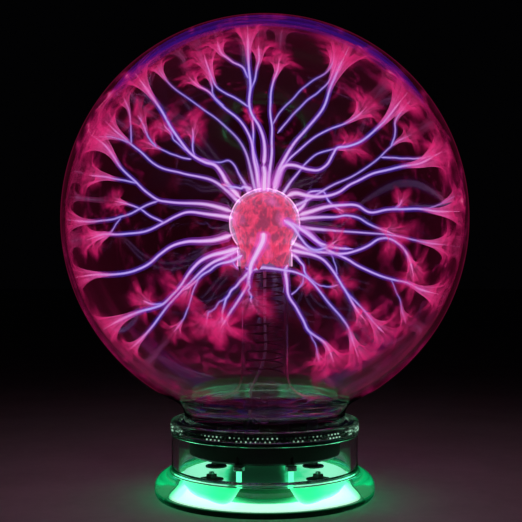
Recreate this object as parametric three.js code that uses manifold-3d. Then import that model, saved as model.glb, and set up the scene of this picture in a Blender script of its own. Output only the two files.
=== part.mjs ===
// Table-top plasma ball: a sealed glass globe with a re-entrant glass stem and electrode bulb, standing in a
// clear glass base lit from inside by a ring-shaped green lamp. A black drum under the globe holds the
// high-voltage driver. Millimetres, +Z up, -Y is the front, origin on the table under the globe's centre.
import * as THREE from "three";
import { mergeVertices } from "three/addons/utils/BufferGeometryUtils.js";
import Module from "manifold-3d";

// ---- Driving dimensions ----
const GLOBE_R = 100; // outer radius of the globe
const GLOBE_Z = 138; // height of the globe's centre
const GLOBE_WALL = 1.8; // wall at the equator
const TOP_WALL = 3.4; // the blown wall thickens towards the top and the neck
const NECK_R = 40; // outer radius of the globe's neck
const NECK_WALL = 2.6;
const NECK_END_Z = 35.6; // lower end of the neck
const BULB_R = 17.3; // electrode bulb at the top of the stem
const BULB_Z = 136;
const SKIRT_R = 13.4; // straight part under the bulb
const TUBE_R = 11.8; // stem tube
const STEM_WALL = 0.8;
const FOOT_R = 54.6; // widest part of the clear base
const SHELL_R = 46.2; // straight wall of the clear base
const SHELL_INNER_R = 42.8;
const SHELL_TOP_Z = 31.8;
const COLLAR_R = 46.9;
const COLLAR_TOP_Z = 38.6;
const DRUM_R = 37.4; // black driver housing
const DRUM_WALL = 1.8;
const DRUM_BOTTOM_Z = 22;
const DRUM_TOP_Z = 33.3;
const TERMINAL_HALF = 19; // half the width of the housing's rear box
const TERMINAL_BOTTOM_Z = 16;
const PANEL_Y = 47.2; // outer face of the rear panel
const PANEL_Z = 23.2; // height of the panel's middle
const FOOT_HEIGHT = 1.6; // rubber feet
const PLATE_T = 1.8; // base plate
const LAMP_RING_R = 44.2; // centre line of the ring lamp
const LAMP_TUBE_R = 2.6;
const LAMP_Z = 7.5;
const DIFFUSER_Z = 11;
const DIFFUSER_T = 1.4;
const BOLT_R = 1.25;
const BOLT_TOP_Z = 16.6;
const SWITCH_X = -8.3;
const JACK_X = 8.3;
const SWITCH_TRAVEL = 2; // each way from the middle position
const GAP = 0.3; // clearance between touching pieces
const ROUND = 40; // sides of the large round pieces

const wasm = await Module();
wasm.setup();

const object = new THREE.Group();

// ---- Finishes ----
const finish = (color, roughness, metalness = 0) =>
  new THREE.MeshStandardMaterial({ color, roughness, metalness });
const glass = finish(0xe8f0f4, 0.03);
const baseGlass = finish(0xd4f2e2, 0.04);
const blackPlastic = finish(0x141416, 0.45);
const whitePlastic = finish(0xf0f2ee, 0.5);
const rubber = finish(0x1b1b1c, 0.85);
const steel = finish(0xb8bcc0, 0.3, 1);
const aluminium = finish(0xc4c7ca, 0.4, 1);
const copper = finish(0xb0683a, 0.35, 1);
const ferrite = finish(0x3a3b3e, 0.7);
const board = finish(0x1f6b3c, 0.5);
const lampGlass = finish(0x9bffc8, 0.2);
const wool = finish(0xa8443c, 0.6, 0.6);
const redWire = finish(0xb02020, 0.5);
const tape = finish(0xc98a3a, 0.6);

// ---- Makers ----
const TAU = 2 * Math.PI;

// Adds one piece under its own name.
function add(name, geometry, material, x = 0, y = 0, z = 0) {
  const mesh = new THREE.Mesh(geometry, material);
  mesh.name = name;
  mesh.position.set(x, y, z);
  object.add(mesh);
  return mesh;
}

// Turns a closed profile of [radius, height] pairs round +Z. The shoelace sum gives the winding facing out.
function turned(profile, segments) {
  const open = profile[0][0] === 0 && profile.at(-1)[0] === 0;
  let sum = 0;
  profile.forEach(([r, z], i) => {
    const [nextR, nextZ] = profile[(i + 1) % profile.length];
    sum += r * nextZ - nextR * z;
  });
  const points = profile.map(([r, z]) => new THREE.Vector2(r, z));
  if (!open) points.push(points[0].clone());
  if (sum < 0) points.reverse();
  return new THREE.LatheGeometry(points, segments).rotateX(Math.PI / 2);
}

const disc = (radius, low, high, segments = 24) =>
  turned([[0, low], [radius, low], [radius, high], [0, high]], segments);

const ring = (inner, outer, low, high, segments = ROUND) =>
  turned([[inner, low], [outer, low], [outer, high], [inner, high]], segments);

const block = (width, depth, height, x = 0, y = 0, z = 0) =>
  new THREE.BoxGeometry(width, depth, height).translate(x, y, z);

// A cylinder along +Y, from y = near to y = far.
const rod = (radius, near, far, x = 0, z = 0, segments = 20) =>
  new THREE.CylinderGeometry(radius, radius, far - near, segments).translate(x, (near + far) / 2, z);

// An arc of a circle in the profile plane, from angle a to angle b in degrees.
function arc(centreR, centreZ, radius, a, b, steps) {
  const points = [];
  for (let i = 0; i <= steps; i++) {
    const angle = THREE.MathUtils.degToRad(a + ((b - a) * i) / steps);
    points.push([centreR + radius * Math.cos(angle), centreZ + radius * Math.sin(angle)]);
  }
  return points;
}

// A quadratic bend between two profile points, without its first point.
function bend([r0, z0], [r1, z1], [r2, z2], steps) {
  const points = [];
  for (let i = 1; i <= steps; i++) {
    const t = i / steps;
    const u = 1 - t;
    points.push([u * u * r0 + 2 * u * t * r1 + t * t * r2, u * u * z0 + 2 * u * t * z1 + t * t * z2]);
  }
  return points;
}

// A round wire or tube along a curve.
function swept(curve, radius, sides, steps) {
  const section = new THREE.Shape();
  for (let i = 0; i < sides; i++) {
    const angle = (TAU * i) / sides;
    const x = radius * Math.cos(angle);
    const y = radius * Math.sin(angle);
    if (i === 0) section.moveTo(x, y);
    else section.lineTo(x, y);
  }
  section.closePath();
  return new THREE.ExtrudeGeometry(section, { steps, extrudePath: curve, curveSegments: 1 });
}

const through = (...points) =>
  new THREE.CatmullRomCurve3(points.map((p) => new THREE.Vector3(...p)), false, "centripetal");

function solid(geometry) {
  const bare = geometry.clone();
  bare.deleteAttribute("normal");
  bare.deleteAttribute("uv");
  const merged = mergeVertices(bare, 1e-4);
  return new wasm.Manifold(
    new wasm.Mesh({
      numProp: 3,
      vertProperties: merged.attributes.position.array,
      triVerts: new Uint32Array(merged.index.array),
    }),
  );
}

function geometryOf(manifold) {
  const mesh = manifold.getMesh();
  return new THREE.BufferGeometry()
    .setAttribute("position", new THREE.BufferAttribute(mesh.vertProperties, 3))
    .setIndex(new THREE.BufferAttribute(mesh.triVerts, 1));
}

const cut = (body, ...tools) =>
  geometryOf(tools.reduce((left, tool) => left.subtract(solid(tool)), solid(body)));

const joined = (...bodies) =>
  geometryOf(bodies.slice(1).reduce((whole, body) => whole.add(solid(body)), solid(bodies[0])));

// ---- Globe: blown sphere that draws in to a short open neck ----
function neckOutline(radius, halfHeight, neckR, meetR, straightZ) {
  const squash = halfHeight / radius;
  const meetAngle = THREE.MathUtils.radToDeg(-Math.acos(meetR / radius));
  const sphere = arc(0, 0, radius, 90, meetAngle, 14).map(([r, z]) => [r, GLOBE_Z + squash * z]);
  sphere[0] = [0, GLOBE_Z + halfHeight];
  const meet = sphere.at(-1);
  const slope = (squash * meetR) / Math.sqrt(radius * radius - meetR * meetR);
  const corner = [neckR, meet[1] - (meetR - neckR) * slope];
  return [...sphere, ...bend(meet, corner, [neckR, straightZ], 3)];
}
const neckInnerR = NECK_R - NECK_WALL;
const globeOuter = neckOutline(GLOBE_R, GLOBE_R, NECK_R, 46, 41);
const globeInner = neckOutline(GLOBE_R - GLOBE_WALL, GLOBE_R - TOP_WALL, neckInnerR, 43.2, 42);
add(
  "globe",
  turned(
    [...globeOuter, [NECK_R, NECK_END_Z], [neckInnerR, NECK_END_Z], ...globeInner.toReversed()],
    ROUND,
  ),
  glass,
);

// ---- Stem: flare that closes the neck, tube and electrode bulb, blown in one piece ----
function stemOutline(offset) {
  const bulbR = BULB_R - offset;
  const skirtR = SKIRT_R - offset;
  const tubeR = TUBE_R - offset;
  const flareR = neckInnerR - GAP - offset;
  const shoulderZ = 46.8 - offset;
  const bulbMeet = THREE.MathUtils.radToDeg(-Math.acos(skirtR / bulbR));
  const bulb = arc(0, BULB_Z, bulbR, 90, bulbMeet, 8);
  bulb[0] = [0, BULB_Z + bulbR];
  return [
    ...bulb,
    [skirtR, 115],
    [tubeR, 110.5],
    [tubeR, 62],
    ...bend([tubeR, 62], [tubeR, shoulderZ + 2], [24, shoulderZ + 1], 4),
    ...bend([24, shoulderZ + 1], [flareR, shoulderZ], [flareR, 40], 3),
    [flareR, NECK_END_Z],
  ];
}
add("stem_bulb", turned([...stemOutline(0), ...stemOutline(STEM_WALL).toReversed()], 24), glass);

// ---- Pump-off tip under the flare, where the globe was evacuated and sealed ----
add("exhaust_tip", turned([[0, 37.5], [1.5, 39], [2.4, 42], [2.4, 45.3], [0, 45.3]], 12), glass, 0, 22);

// ---- Electrode: ball of metal wool in the bulb, fed by a coiled wire and a straight lead ----
const woolBottomZ = 114.6;
const woolBall = arc(0, BULB_Z, BULB_R - STEM_WALL - 0.5, 90, -42, 8);
woolBall[0] = [0, BULB_Z + BULB_R - STEM_WALL - 0.5];
add("electrode_wool", turned([...woolBall, [11, 116], [9, woolBottomZ], [0, woolBottomZ]], 20), wool);

class Helix extends THREE.Curve {
  constructor(radius, low, high, turns) {
    super();
    Object.assign(this, { radius, low, high, turns });
  }
  getPoint(t, target = new THREE.Vector3()) {
    const angle = TAU * this.turns * t;
    const z = this.low + (this.high - this.low) * t;
    return target.set(this.radius * Math.cos(angle), this.radius * Math.sin(angle), z);
  }
}
const COIL_R = 9.2;
const COIL_TURNS = 12;
const COIL_STEPS = 9; // per turn
add(
  "contact_coil",
  swept(new Helix(COIL_R, 60, 113.8, COIL_TURNS), 0.45, 4, COIL_TURNS * COIL_STEPS),
  steel,
);

// ---- High-voltage lead: from the driver up the middle of the stem ----
const BOOT_X = -7.2;
add(
  "hv_lead",
  swept(
    through([BOOT_X, 0, 46.6], [BOOT_X, 0, 50], [-4, 0, 58], [0, 0, 69], [0, 0, 90], [0, 0, 114.2]),
    0.8,
    6,
    16,
  ),
  whitePlastic,
);
add("hv_boot", turned([[0, 26.9], [3.6, 26.9], [3.6, 42], [1.9, 46.3], [0, 46.3]], 16), rubber, BOOT_X);

// ---- Gasket: L-shaped ring under and round the neck ----
const GASKET_R = 41.6;
add(
  "neck_gasket",
  turned(
    [
      [35.4, DRUM_TOP_Z + 0.1],
      [GASKET_R, DRUM_TOP_Z + 0.1],
      [GASKET_R, 37.6],
      [NECK_R + GAP, 37.6],
      [NECK_R + GAP, NECK_END_Z - GAP],
      [35.4, NECK_END_Z - GAP],
    ],
    ROUND,
  ),
  rubber,
);

// ---- Collar: clear ring with two beads, which holds the housing's flange down on the shell ----
const FLANGE_R = 44.4;
const collarProfile = [
  [FLANGE_R + GAP, SHELL_TOP_Z + 0.1],
  [COLLAR_R - 0.7, SHELL_TOP_Z + 0.1],
  [COLLAR_R, SHELL_TOP_Z + 0.9],
  [COLLAR_R - 0.6, SHELL_TOP_Z + 1.9],
  [COLLAR_R - 0.6, COLLAR_TOP_Z - 2],
  [COLLAR_R, COLLAR_TOP_Z - 1],
  [COLLAR_R - 0.7, COLLAR_TOP_Z],
  [GASKET_R + 1.2, COLLAR_TOP_Z],
  [GASKET_R + GAP, COLLAR_TOP_Z - 1],
  [GASKET_R + GAP, DRUM_TOP_Z + GAP],
  [FLANGE_R + GAP, DRUM_TOP_Z + GAP],
];
add("collar_ring", turned(collarProfile, ROUND), baseGlass);

// ---- Clear base: straight wall over a bulging foot, open underneath, with a window at the back ----
const FOOT_INNER_R = 49.6;
const RIM_Z = 0.8;
const shellProfile = [
  [FOOT_INNER_R, RIM_Z],
  [FOOT_R - 2, RIM_Z],
  ...bend([FOOT_R - 2, RIM_Z], [FOOT_R, 1.6], [FOOT_R, 5], 2),
  ...bend([FOOT_R, 5], [FOOT_R, 11.4], [48, 13.3], 4),
  [47.2, 13.4],
  [47.2, 14],
  [SHELL_R, 14.6],
  [SHELL_R, SHELL_TOP_Z],
  [SHELL_INNER_R, SHELL_TOP_Z],
  [SHELL_INNER_R, 15.5],
  ...bend([SHELL_INNER_R, 15.5], [FOOT_INNER_R, 13], [FOOT_INNER_R, 5], 3),
];
const windowWidth = 2 * (TERMINAL_HALF + 0.6);
const windowLow = TERMINAL_BOTTOM_Z - 0.6;
const windowHigh = 30.6;
const rearWindow = block(windowWidth, 20, windowHigh - windowLow, 0, 46, (windowLow + windowHigh) / 2);
add("base_shell", cut(turned(shellProfile, ROUND), rearWindow), baseGlass);

// ---- Driver housing: black drum with a rear terminal box, hanging by its flange from the shell's top ----
const terminalBackY = 41.5;
const terminalFrontY = 22;
const drumOutside = turned(
  [
    [0, DRUM_BOTTOM_Z],
    [DRUM_R - 1, DRUM_BOTTOM_Z],
    [DRUM_R, DRUM_BOTTOM_Z + 1],
    [DRUM_R, SHELL_TOP_Z + 0.1],
    [FLANGE_R, SHELL_TOP_Z + 0.1],
    [FLANGE_R, DRUM_TOP_Z],
    [0, DRUM_TOP_Z],
  ],
  ROUND,
);
const terminalTopZ = 30.2;
const terminalDepth = terminalBackY - terminalFrontY;
const terminalY = (terminalBackY + terminalFrontY) / 2;
const terminalOutside = block(
  2 * TERMINAL_HALF,
  terminalDepth,
  terminalTopZ - TERMINAL_BOTTOM_Z,
  0,
  terminalY,
  (terminalTopZ + TERMINAL_BOTTOM_Z) / 2,
);
const drumInside = disc(DRUM_R - DRUM_WALL, DRUM_BOTTOM_Z + DRUM_WALL, DRUM_TOP_Z + 5, ROUND);
const terminalInside = block(
  2 * (TERMINAL_HALF - DRUM_WALL),
  terminalDepth,
  terminalTopZ - TERMINAL_BOTTOM_Z - 2 * DRUM_WALL,
  0,
  terminalY + DRUM_WALL,
  (terminalTopZ + TERMINAL_BOTTOM_Z) / 2,
);
const LAMP_END = [11.9, -34.4];
const leadHoles = [-1, 1].map((side) =>
  disc(1.2, DRUM_BOTTOM_Z - 2, DRUM_BOTTOM_Z + 4, 12).translate(side * LAMP_END[0], LAMP_END[1], 0),
);
// The driver board stands on three bosses.
const BOARD_Z = 25;
const BOARD_T = 1.6;
const bossAngles = [90, 205, 335];
const bossPlace = (degrees) => {
  const angle = THREE.MathUtils.degToRad(degrees);
  return [29 * Math.cos(angle), (degrees === 90 ? 14 : 29) * Math.sin(angle)];
};
const bosses = bossAngles.map((degrees) => {
  const [x, y] = bossPlace(degrees);
  return ring(0.9, 2.6, DRUM_BOTTOM_Z + 1, BOARD_Z - 0.1, 12).translate(x, y, 0);
});
const hollowDrum = cut(joined(drumOutside, terminalOutside), drumInside, terminalInside, ...leadHoles);
add("driver_housing", joined(hollowDrum, ...bosses), blackPlastic);

// ---- Driver board with its parts ----
const boardTop = BOARD_Z + BOARD_T;
const boardHoles = bossAngles.map((degrees) => {
  const [x, y] = bossPlace(degrees);
  return disc(1.3, BOARD_Z - 1, boardTop + 1, 12).translate(x, y, 0);
});
// Its rear edge is cut straight, to leave the terminal box free.
const boardTrim = block(80, 20, 10, 0, 29, BOARD_Z);
add("driver_board", cut(disc(34, BOARD_Z, boardTop, 32), boardTrim, ...boardHoles), board);
const headZ = boardTop + 0.1;
bossAngles.forEach((degrees, i) => {
  const [x, y] = bossPlace(degrees);
  const screw = turned(
    [[0, 24.1], [0.7, 24.1], [0.7, headZ], [2.1, headZ], [1.7, headZ + 1.2], [0, headZ + 1.2]],
    12,
  );
  add(`board_screw_${i + 1}`, screw, steel, x, y);
});

// Ferrite loop with the winding on one of its upright legs.
const CORE_X = 14;
const CORE_Z = boardTop + 0.3;
const CORE = { width: 24, depth: 8, height: 16, leg: 5.5, yoke: 4.5 };
const coreMiddle = CORE_Z + CORE.height / 2;
const coreOutside = block(CORE.width, CORE.depth, CORE.height, CORE_X, 0, coreMiddle);
const coreWindow = block(
  CORE.width - 2 * CORE.leg,
  2 * CORE.depth,
  CORE.height - 2 * CORE.yoke,
  CORE_X,
  0,
  coreMiddle,
);
add("flyback_core", cut(coreOutside, coreWindow), ferrite);
const windingX = CORE_X - (CORE.width - CORE.leg) / 2;
const winding = disc(7.4, CORE_Z + CORE.yoke + GAP, CORE_Z + CORE.height - CORE.yoke - GAP, 20);
const legHole = block(CORE.leg + 2 * GAP, CORE.depth + 2 * GAP, 2 * CORE.height, 0, 0, coreMiddle);
add("flyback_winding", cut(winding, legHole), tape, windingX);

const FIN_COUNT = 5;
const sinkBase = block(22, 1.6, 9, -14, -18.4, boardTop + 0.2 + 4.5);
const fins = Array.from({ length: FIN_COUNT }, (_, i) =>
  block(1.2, 5, 9, -14 + (i - (FIN_COUNT - 1) / 2) * 5, -21.4, boardTop + 0.2 + 4.5),
);
add("heat_sink", joined(sinkBase, ...fins), aluminium);
add("power_transistor", block(10, 4.2, 8.6, -14, -15.2, boardTop + 0.2 + 4.3), blackPlastic);
add("filter_capacitor", disc(4, boardTop + 0.1, boardTop + 9.5, 20), blackPlastic, -20, 6);
add("timing_capacitor", disc(2.6, boardTop + 0.1, boardTop + 6.5, 16), blackPlastic, -13, 13);
add("film_capacitor", block(9, 4, 6, 0, 0, 3), tape, 14, -14, boardTop + 0.1);
const trimmerBody = joined(block(6, 6, 3.4, 0, 0, 1.7), disc(2.1, 3, 4.4, 12));
add("trimmer", trimmerBody, whitePlastic, 24, 12, boardTop + 0.1);

// ---- Rear panel with power inlet, three-position slide switch and microphone ----
const panelHalf = TERMINAL_HALF - GAP;
const panelLow = TERMINAL_BOTTOM_Z + GAP;
const panelHigh = windowHigh - GAP;
const panelInnerY = terminalBackY + GAP;
const panelBody = block(
  2 * panelHalf,
  PANEL_Y - panelInnerY,
  panelHigh - panelLow,
  0,
  (PANEL_Y + panelInnerY) / 2,
  (panelHigh + panelLow) / 2,
);
const PANEL_T = 2.4;
const pocketDepth = PANEL_Y - PANEL_T - panelInnerY;
const panelPocket = block(
  30.4,
  2 * pocketDepth,
  panelHigh - panelLow - 3,
  0,
  panelInnerY,
  (panelHigh + panelLow) / 2,
);
const KNOB = { width: 4, height: 3, proud: 2 };
const slotWidth = KNOB.width + 2 * (SWITCH_TRAVEL + GAP);
const slot = block(slotWidth, 12, KNOB.height + 2 * GAP, SWITCH_X, PANEL_Y, PANEL_Z);
const JACK_COLLAR_R = 4.4;
const MIC_Z = PANEL_Z + 3.4;
const jackHole = rod(JACK_COLLAR_R + GAP, PANEL_Y - 6, PANEL_Y + 2, JACK_X, PANEL_Z, 24);
const micHole = rod(0.9, PANEL_Y - 6, PANEL_Y + 2, 0, MIC_Z, 12);
const PANEL_SCREW_X = 16.8;
const screwHoles = [-1, 1].map((side) =>
  rod(1.1, PANEL_Y - 12, PANEL_Y + 2, side * PANEL_SCREW_X, PANEL_Z, 12),
);
add("rear_panel", cut(panelBody, panelPocket, slot, jackHole, micHole, ...screwHoles), blackPlastic);
[-1, 1].forEach((side, i) => {
  const shank = rod(0.85, terminalBackY + 0.6, PANEL_Y + 0.4, side * PANEL_SCREW_X, PANEL_Z, 12);
  const head = rod(1.8, PANEL_Y + 0.1, PANEL_Y + 1.2, side * PANEL_SCREW_X, PANEL_Z, 16);
  add(`panel_screw_${i + 1}`, joined(shank, head), steel);
});
add("microphone", rod(1.5, 40, PANEL_Y - PANEL_T - 0.2, 0, MIC_Z, 14), aluminium);

const jackBodyBackY = 32;
const jackBodyFrontY = PANEL_Y - PANEL_T - GAP;
const jackMiddleY = (jackBodyFrontY + jackBodyBackY) / 2;
const jackBody = block(9, jackBodyFrontY - jackBodyBackY, 9, JACK_X, jackMiddleY, PANEL_Z);
const jackCollar = rod(JACK_COLLAR_R, jackBodyFrontY - 1, PANEL_Y + 0.4, JACK_X, PANEL_Z, 24);
const jackBore = rod(3.15, 37, PANEL_Y + 2, JACK_X, PANEL_Z, 20);
add("dc_jack", cut(joined(jackBody, jackCollar), jackBore), blackPlastic);
add("dc_jack_pin", rod(1.05, 37.2, PANEL_Y - 1, JACK_X, PANEL_Z, 12), steel);

const frameBody = block(13, 6, 6.8, SWITCH_X, 41.4, PANEL_Z);
const frameCavity = block(11.4, 4, 5, SWITCH_X, 43.6, PANEL_Z);
add("switch_frame", cut(frameBody, frameCavity), steel);
const knob = block(KNOB.width, 6.2, KNOB.height, 0, PANEL_Y + KNOB.proud - 3.1, 0);
const tongue = block(6.8, 1, 4.4, 0, PANEL_Y + KNOB.proud - 6.2 + 0.2, 0);
add("switch_slider", joined(knob, tongue), whitePlastic, SWITCH_X, 0, PANEL_Z);

// Leads from the inlet and the switch to the board, inside the housing.
const jackLead = through(
  [JACK_X, 31.5, PANEL_Z],
  [JACK_X, 29, 23.6],
  [10, 23, 29.2],
  [10, 17, 29.6],
  [10, 16, boardTop + 0.9],
);
add("power_lead", swept(jackLead, 0.7, 6, 14), redWire);
const switchLead = through(
  [SWITCH_X, 38, PANEL_Z],
  [SWITCH_X, 32, 23.6],
  [-9, 25, 28.8],
  [-8, 18, 29.6],
  [-7, 16, boardTop + 0.9],
);
add("switch_lead", swept(switchLead, 0.7, 6, 14), blackPlastic);

// ---- Ring lamp: green tube round the foot, with both ends turned up at the front ----
const lampPoints = [];
const LAMP_GAP_DEG = 22; // from the front to each end of the ring
const [endX, endY] = LAMP_END;
const LAMP_ARC_DEG = 360 - 2 * LAMP_GAP_DEG;
const LAMP_ARC_STEPS = 22;
lampPoints.push([-endX, endY, 19.2], [-endX, endY, 15.6], [-endX - 0.2, endY - 2.6, 11.8]);
for (let i = 0; i <= LAMP_ARC_STEPS; i++) {
  const angle = THREE.MathUtils.degToRad(270 - LAMP_GAP_DEG - (LAMP_ARC_DEG * i) / LAMP_ARC_STEPS);
  lampPoints.push([LAMP_RING_R * Math.cos(angle), LAMP_RING_R * Math.sin(angle), LAMP_Z]);
}
lampPoints.push([endX + 0.2, endY - 2.6, 11.8], [endX, endY, 15.6], [endX, endY, 19.2]);
add("ring_lamp", swept(through(...lampPoints), LAMP_TUBE_R, 8, 66), lampGlass);
["left", "right"].forEach((name, i) => {
  const side = 2 * i - 1;
  add(`lamp_cap_${name}`, disc(2.7, 19.5, DRUM_BOTTOM_Z - 0.2, 14), steel, side * endX, endY);
});

// ---- Bolts clamp base plate, reflector and diffuser into one stack ----
const stackPlaces = [[-25, -21.5], [25, -21.5], [25, 12.5], [-25, 12.5]];
const plateTop = FOOT_HEIGHT + PLATE_T;
const reflectorLow = plateTop + 0.2;
const reflectorHigh = reflectorLow + 0.6;
const boltHoles = (low, high) =>
  stackPlaces.map(([x, y]) => disc(BOLT_R + GAP, low - 1, high + 1, 14).translate(x, y, 0));
add(
  "base_plate",
  cut(disc(FOOT_INNER_R - GAP, FOOT_HEIGHT, plateTop, ROUND), ...boltHoles(FOOT_HEIGHT, plateTop)),
  blackPlastic,
);
add(
  "reflector_disc",
  cut(
    disc(FOOT_INNER_R - 0.8, reflectorLow, reflectorHigh, ROUND),
    ...boltHoles(reflectorLow, reflectorHigh),
  ),
  whitePlastic,
);
const diffuserTop = DIFFUSER_Z + DIFFUSER_T;
const lampNotches = [-1, 1].map((side) =>
  block(11.4, 16, 6, side * (endX + 1.3), endY - 4, DIFFUSER_Z),
);
add(
  "diffuser_plate",
  cut(disc(41.2, DIFFUSER_Z, diffuserTop, ROUND), ...lampNotches, ...boltHoles(DIFFUSER_Z, diffuserTop)),
  whitePlastic,
);
stackPlaces.forEach(([x, y], i) => {
  const headTopZ = FOOT_HEIGHT - 0.1;
  const bolt = turned(
    [[0, 0.35], [2.7, 0.35], [2.7, headTopZ], [BOLT_R, headTopZ], [BOLT_R, BOLT_TOP_Z], [0, BOLT_TOP_Z]],
    12,
  );
  add(`bolt_${i + 1}`, bolt, steel, x, y);
  const spacer = ring(BOLT_R + GAP, 3.4, reflectorHigh + 0.1, DIFFUSER_Z - 0.1, 14);
  add(`spacer_${i + 1}`, spacer, blackPlastic, x, y);
  const nut = joined(
    ring(BOLT_R + GAP, 5.6, diffuserTop + 0.1, diffuserTop + 0.9, 18),
    ring(BOLT_R + GAP, 2.7, diffuserTop + 0.5, diffuserTop + 3, 6),
  );
  add(`flange_nut_${i + 1}`, nut, blackPlastic, x, y);
});

// ---- Rubber feet ----
for (let i = 0; i < 4; i++) {
  const angle = (TAU * (i - 1)) / 4;
  const padTopZ = FOOT_HEIGHT - 0.1;
  const foot = turned([[0, 0], [3.8, 0], [4.4, 0.7], [4.4, padTopZ], [0, padTopZ]], 18);
  add(`foot_${i + 1}`, foot, rubber, 43.6 * Math.cos(angle), 43.6 * Math.sin(angle));
}

// ---- Lamp inverter: curved board under the diffuser, at the front ----
const INVERTER_Z = reflectorHigh + 0.3;
const INVERTER_T = 1.2;
const INVERTER_SPREAD_DEG = 40;
const spread = THREE.MathUtils.degToRad(INVERTER_SPREAD_DEG);
const sector = new THREE.Shape();
sector.absarc(0, 0, 39.8, -Math.PI / 2 - spread, -Math.PI / 2 + spread, false);
sector.absarc(0, 0, 29, -Math.PI / 2 + spread, -Math.PI / 2 - spread, true);
add(
  "inverter_board",
  new THREE.ExtrudeGeometry(sector, { depth: INVERTER_T, bevelEnabled: false, curveSegments: 14 }),
  board,
  0,
  0,
  INVERTER_Z,
);
const inverterTop = INVERTER_Z + INVERTER_T + 0.1;
add("inverter_coil", block(8, 6, 4, 0, 0, 2), tape, -17.5, -28.5, inverterTop);
add("ballast_capacitor", block(8, 4, 3.8, 0, 0, 1.9), whitePlastic, 12.5, -29.6, inverterTop);
add("inverter_transistor", block(4.6, 2.6, 3.8, 0, 0, 1.9), blackPlastic, 20.6, -27.6, inverterTop);

export default object;
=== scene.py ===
import math

import bmesh
import bpy
import numpy as np
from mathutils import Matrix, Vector


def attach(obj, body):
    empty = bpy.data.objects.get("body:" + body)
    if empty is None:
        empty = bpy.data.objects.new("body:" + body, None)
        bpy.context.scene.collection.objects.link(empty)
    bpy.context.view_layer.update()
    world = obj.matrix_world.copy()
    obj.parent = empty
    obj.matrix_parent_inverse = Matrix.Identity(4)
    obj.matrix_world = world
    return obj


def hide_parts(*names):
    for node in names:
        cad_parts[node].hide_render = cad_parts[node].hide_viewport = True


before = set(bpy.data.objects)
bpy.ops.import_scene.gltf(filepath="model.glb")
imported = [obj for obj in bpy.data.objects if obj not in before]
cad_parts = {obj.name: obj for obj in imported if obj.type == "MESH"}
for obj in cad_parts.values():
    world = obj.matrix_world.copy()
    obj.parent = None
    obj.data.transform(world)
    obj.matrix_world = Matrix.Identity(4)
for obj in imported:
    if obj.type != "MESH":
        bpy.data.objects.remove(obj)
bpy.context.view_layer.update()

# --------------------------------------------------------------------------------------------------
# Underside: a moulded black ABS plate pushed into the foot of the base, on four soft rubber pads.
# Four zinc-plated steel bolts come up through it and clamp the whole lit stack.
# --------------------------------------------------------------------------------------------------
MM = 0.001


def linear(hex_colour):
    """sRGB hex to linear RGBA: x/12.92 below 0.04045, else ((x + 0.055) / 1.055) ** 2.4 for each channel."""
    value = np.array([int(hex_colour[i : i + 2], 16) for i in (1, 3, 5)]) / 255
    value = np.where(value <= 0.04045, value / 12.92, ((value + 0.055) / 1.055) ** 2.4)
    return (*value.tolist(), 1.0)


def node(tree, kind, settings=(), **links):
    """Adds a node of a kind. settings sets its properties and sockets by name, and a colour ramp's stops as
    (position, hex colour) pairs. links joins sockets to other outputs. A name made of i and a number
    stands for the socket at that place."""
    made = tree.nodes.new(kind)
    for name, value in dict(settings).items():
        if name == "stops":
            marks = made.color_ramp.elements
            marks[0].position, marks[0].color = value[0][0], linear(value[0][1])
            marks[1].position, marks[1].color = value[-1][0], linear(value[-1][1])
            for position, colour in value[1:-1]:
                marks.new(position).color = linear(colour)
        elif name[0] == "i" and name[1:].isdigit():
            made.inputs[int(name[1:])].default_value = value
        elif name in made.inputs:
            made.inputs[name].default_value = value
        else:
            setattr(made, name, value)
    for name, output in links.items():
        socket = int(name[1:]) if name[0] == "i" and name[1:].isdigit() else name.replace("_", " ")
        tree.links.new(made.inputs[socket], output)
    return made


def material(name, settings):
    """A Principled material of that name with those settings on its shader, as material, tree, shader."""
    made = bpy.data.materials.new(name)
    made.use_nodes = True
    shader = made.node_tree.nodes["Principled BSDF"]
    for key, value in settings.items():
        shader.inputs[key].default_value = value
    return made, made.node_tree, shader


def speckled(name, dark, light, grain_mm, rough=(0.4, 0.55), bump=0.05, **settings):
    """A material whose colour and roughness drift between two values in blotches and grains of a real size:
    half the fine noise plus the broad noise picks the colour, and the fine noise alone the roughness."""
    made, tree, shader = material(name, settings)
    place = node(tree, "ShaderNodeTexCoord").outputs["Object"]
    fine = node(tree, "ShaderNodeTexNoise", {"Scale": 1 / (grain_mm * MM), "Detail": 4.0}, Vector=place)
    broad = node(tree, "ShaderNodeTexNoise", {"Scale": 0.12 / (grain_mm * MM), "Detail": 2.0}, Vector=place)
    halved = {"operation": "MULTIPLY_ADD", "i1": 0.5}
    blend = node(tree, "ShaderNodeMath", halved, i0=fine.outputs[0], i2=broad.outputs[0])
    ramp = node(tree, "ShaderNodeValToRGB", {"stops": [(0.55, dark), (0.95, light)]}, Fac=blend.outputs[0])
    tree.links.new(shader.inputs["Base Color"], ramp.outputs["Color"])
    gloss = node(tree, "ShaderNodeMapRange", {"To Min": rough[0], "To Max": rough[1]}, Value=fine.outputs[0])
    tree.links.new(shader.inputs["Roughness"], gloss.outputs[0])
    grain = {"Strength": bump, "Distance": grain_mm * MM * 0.3}
    relief = node(tree, "ShaderNodeBump", grain, Height=fine.outputs[0])
    tree.links.new(shader.inputs["Normal"], relief.outputs[0])
    return made


CREASE_DEG = 32


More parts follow.
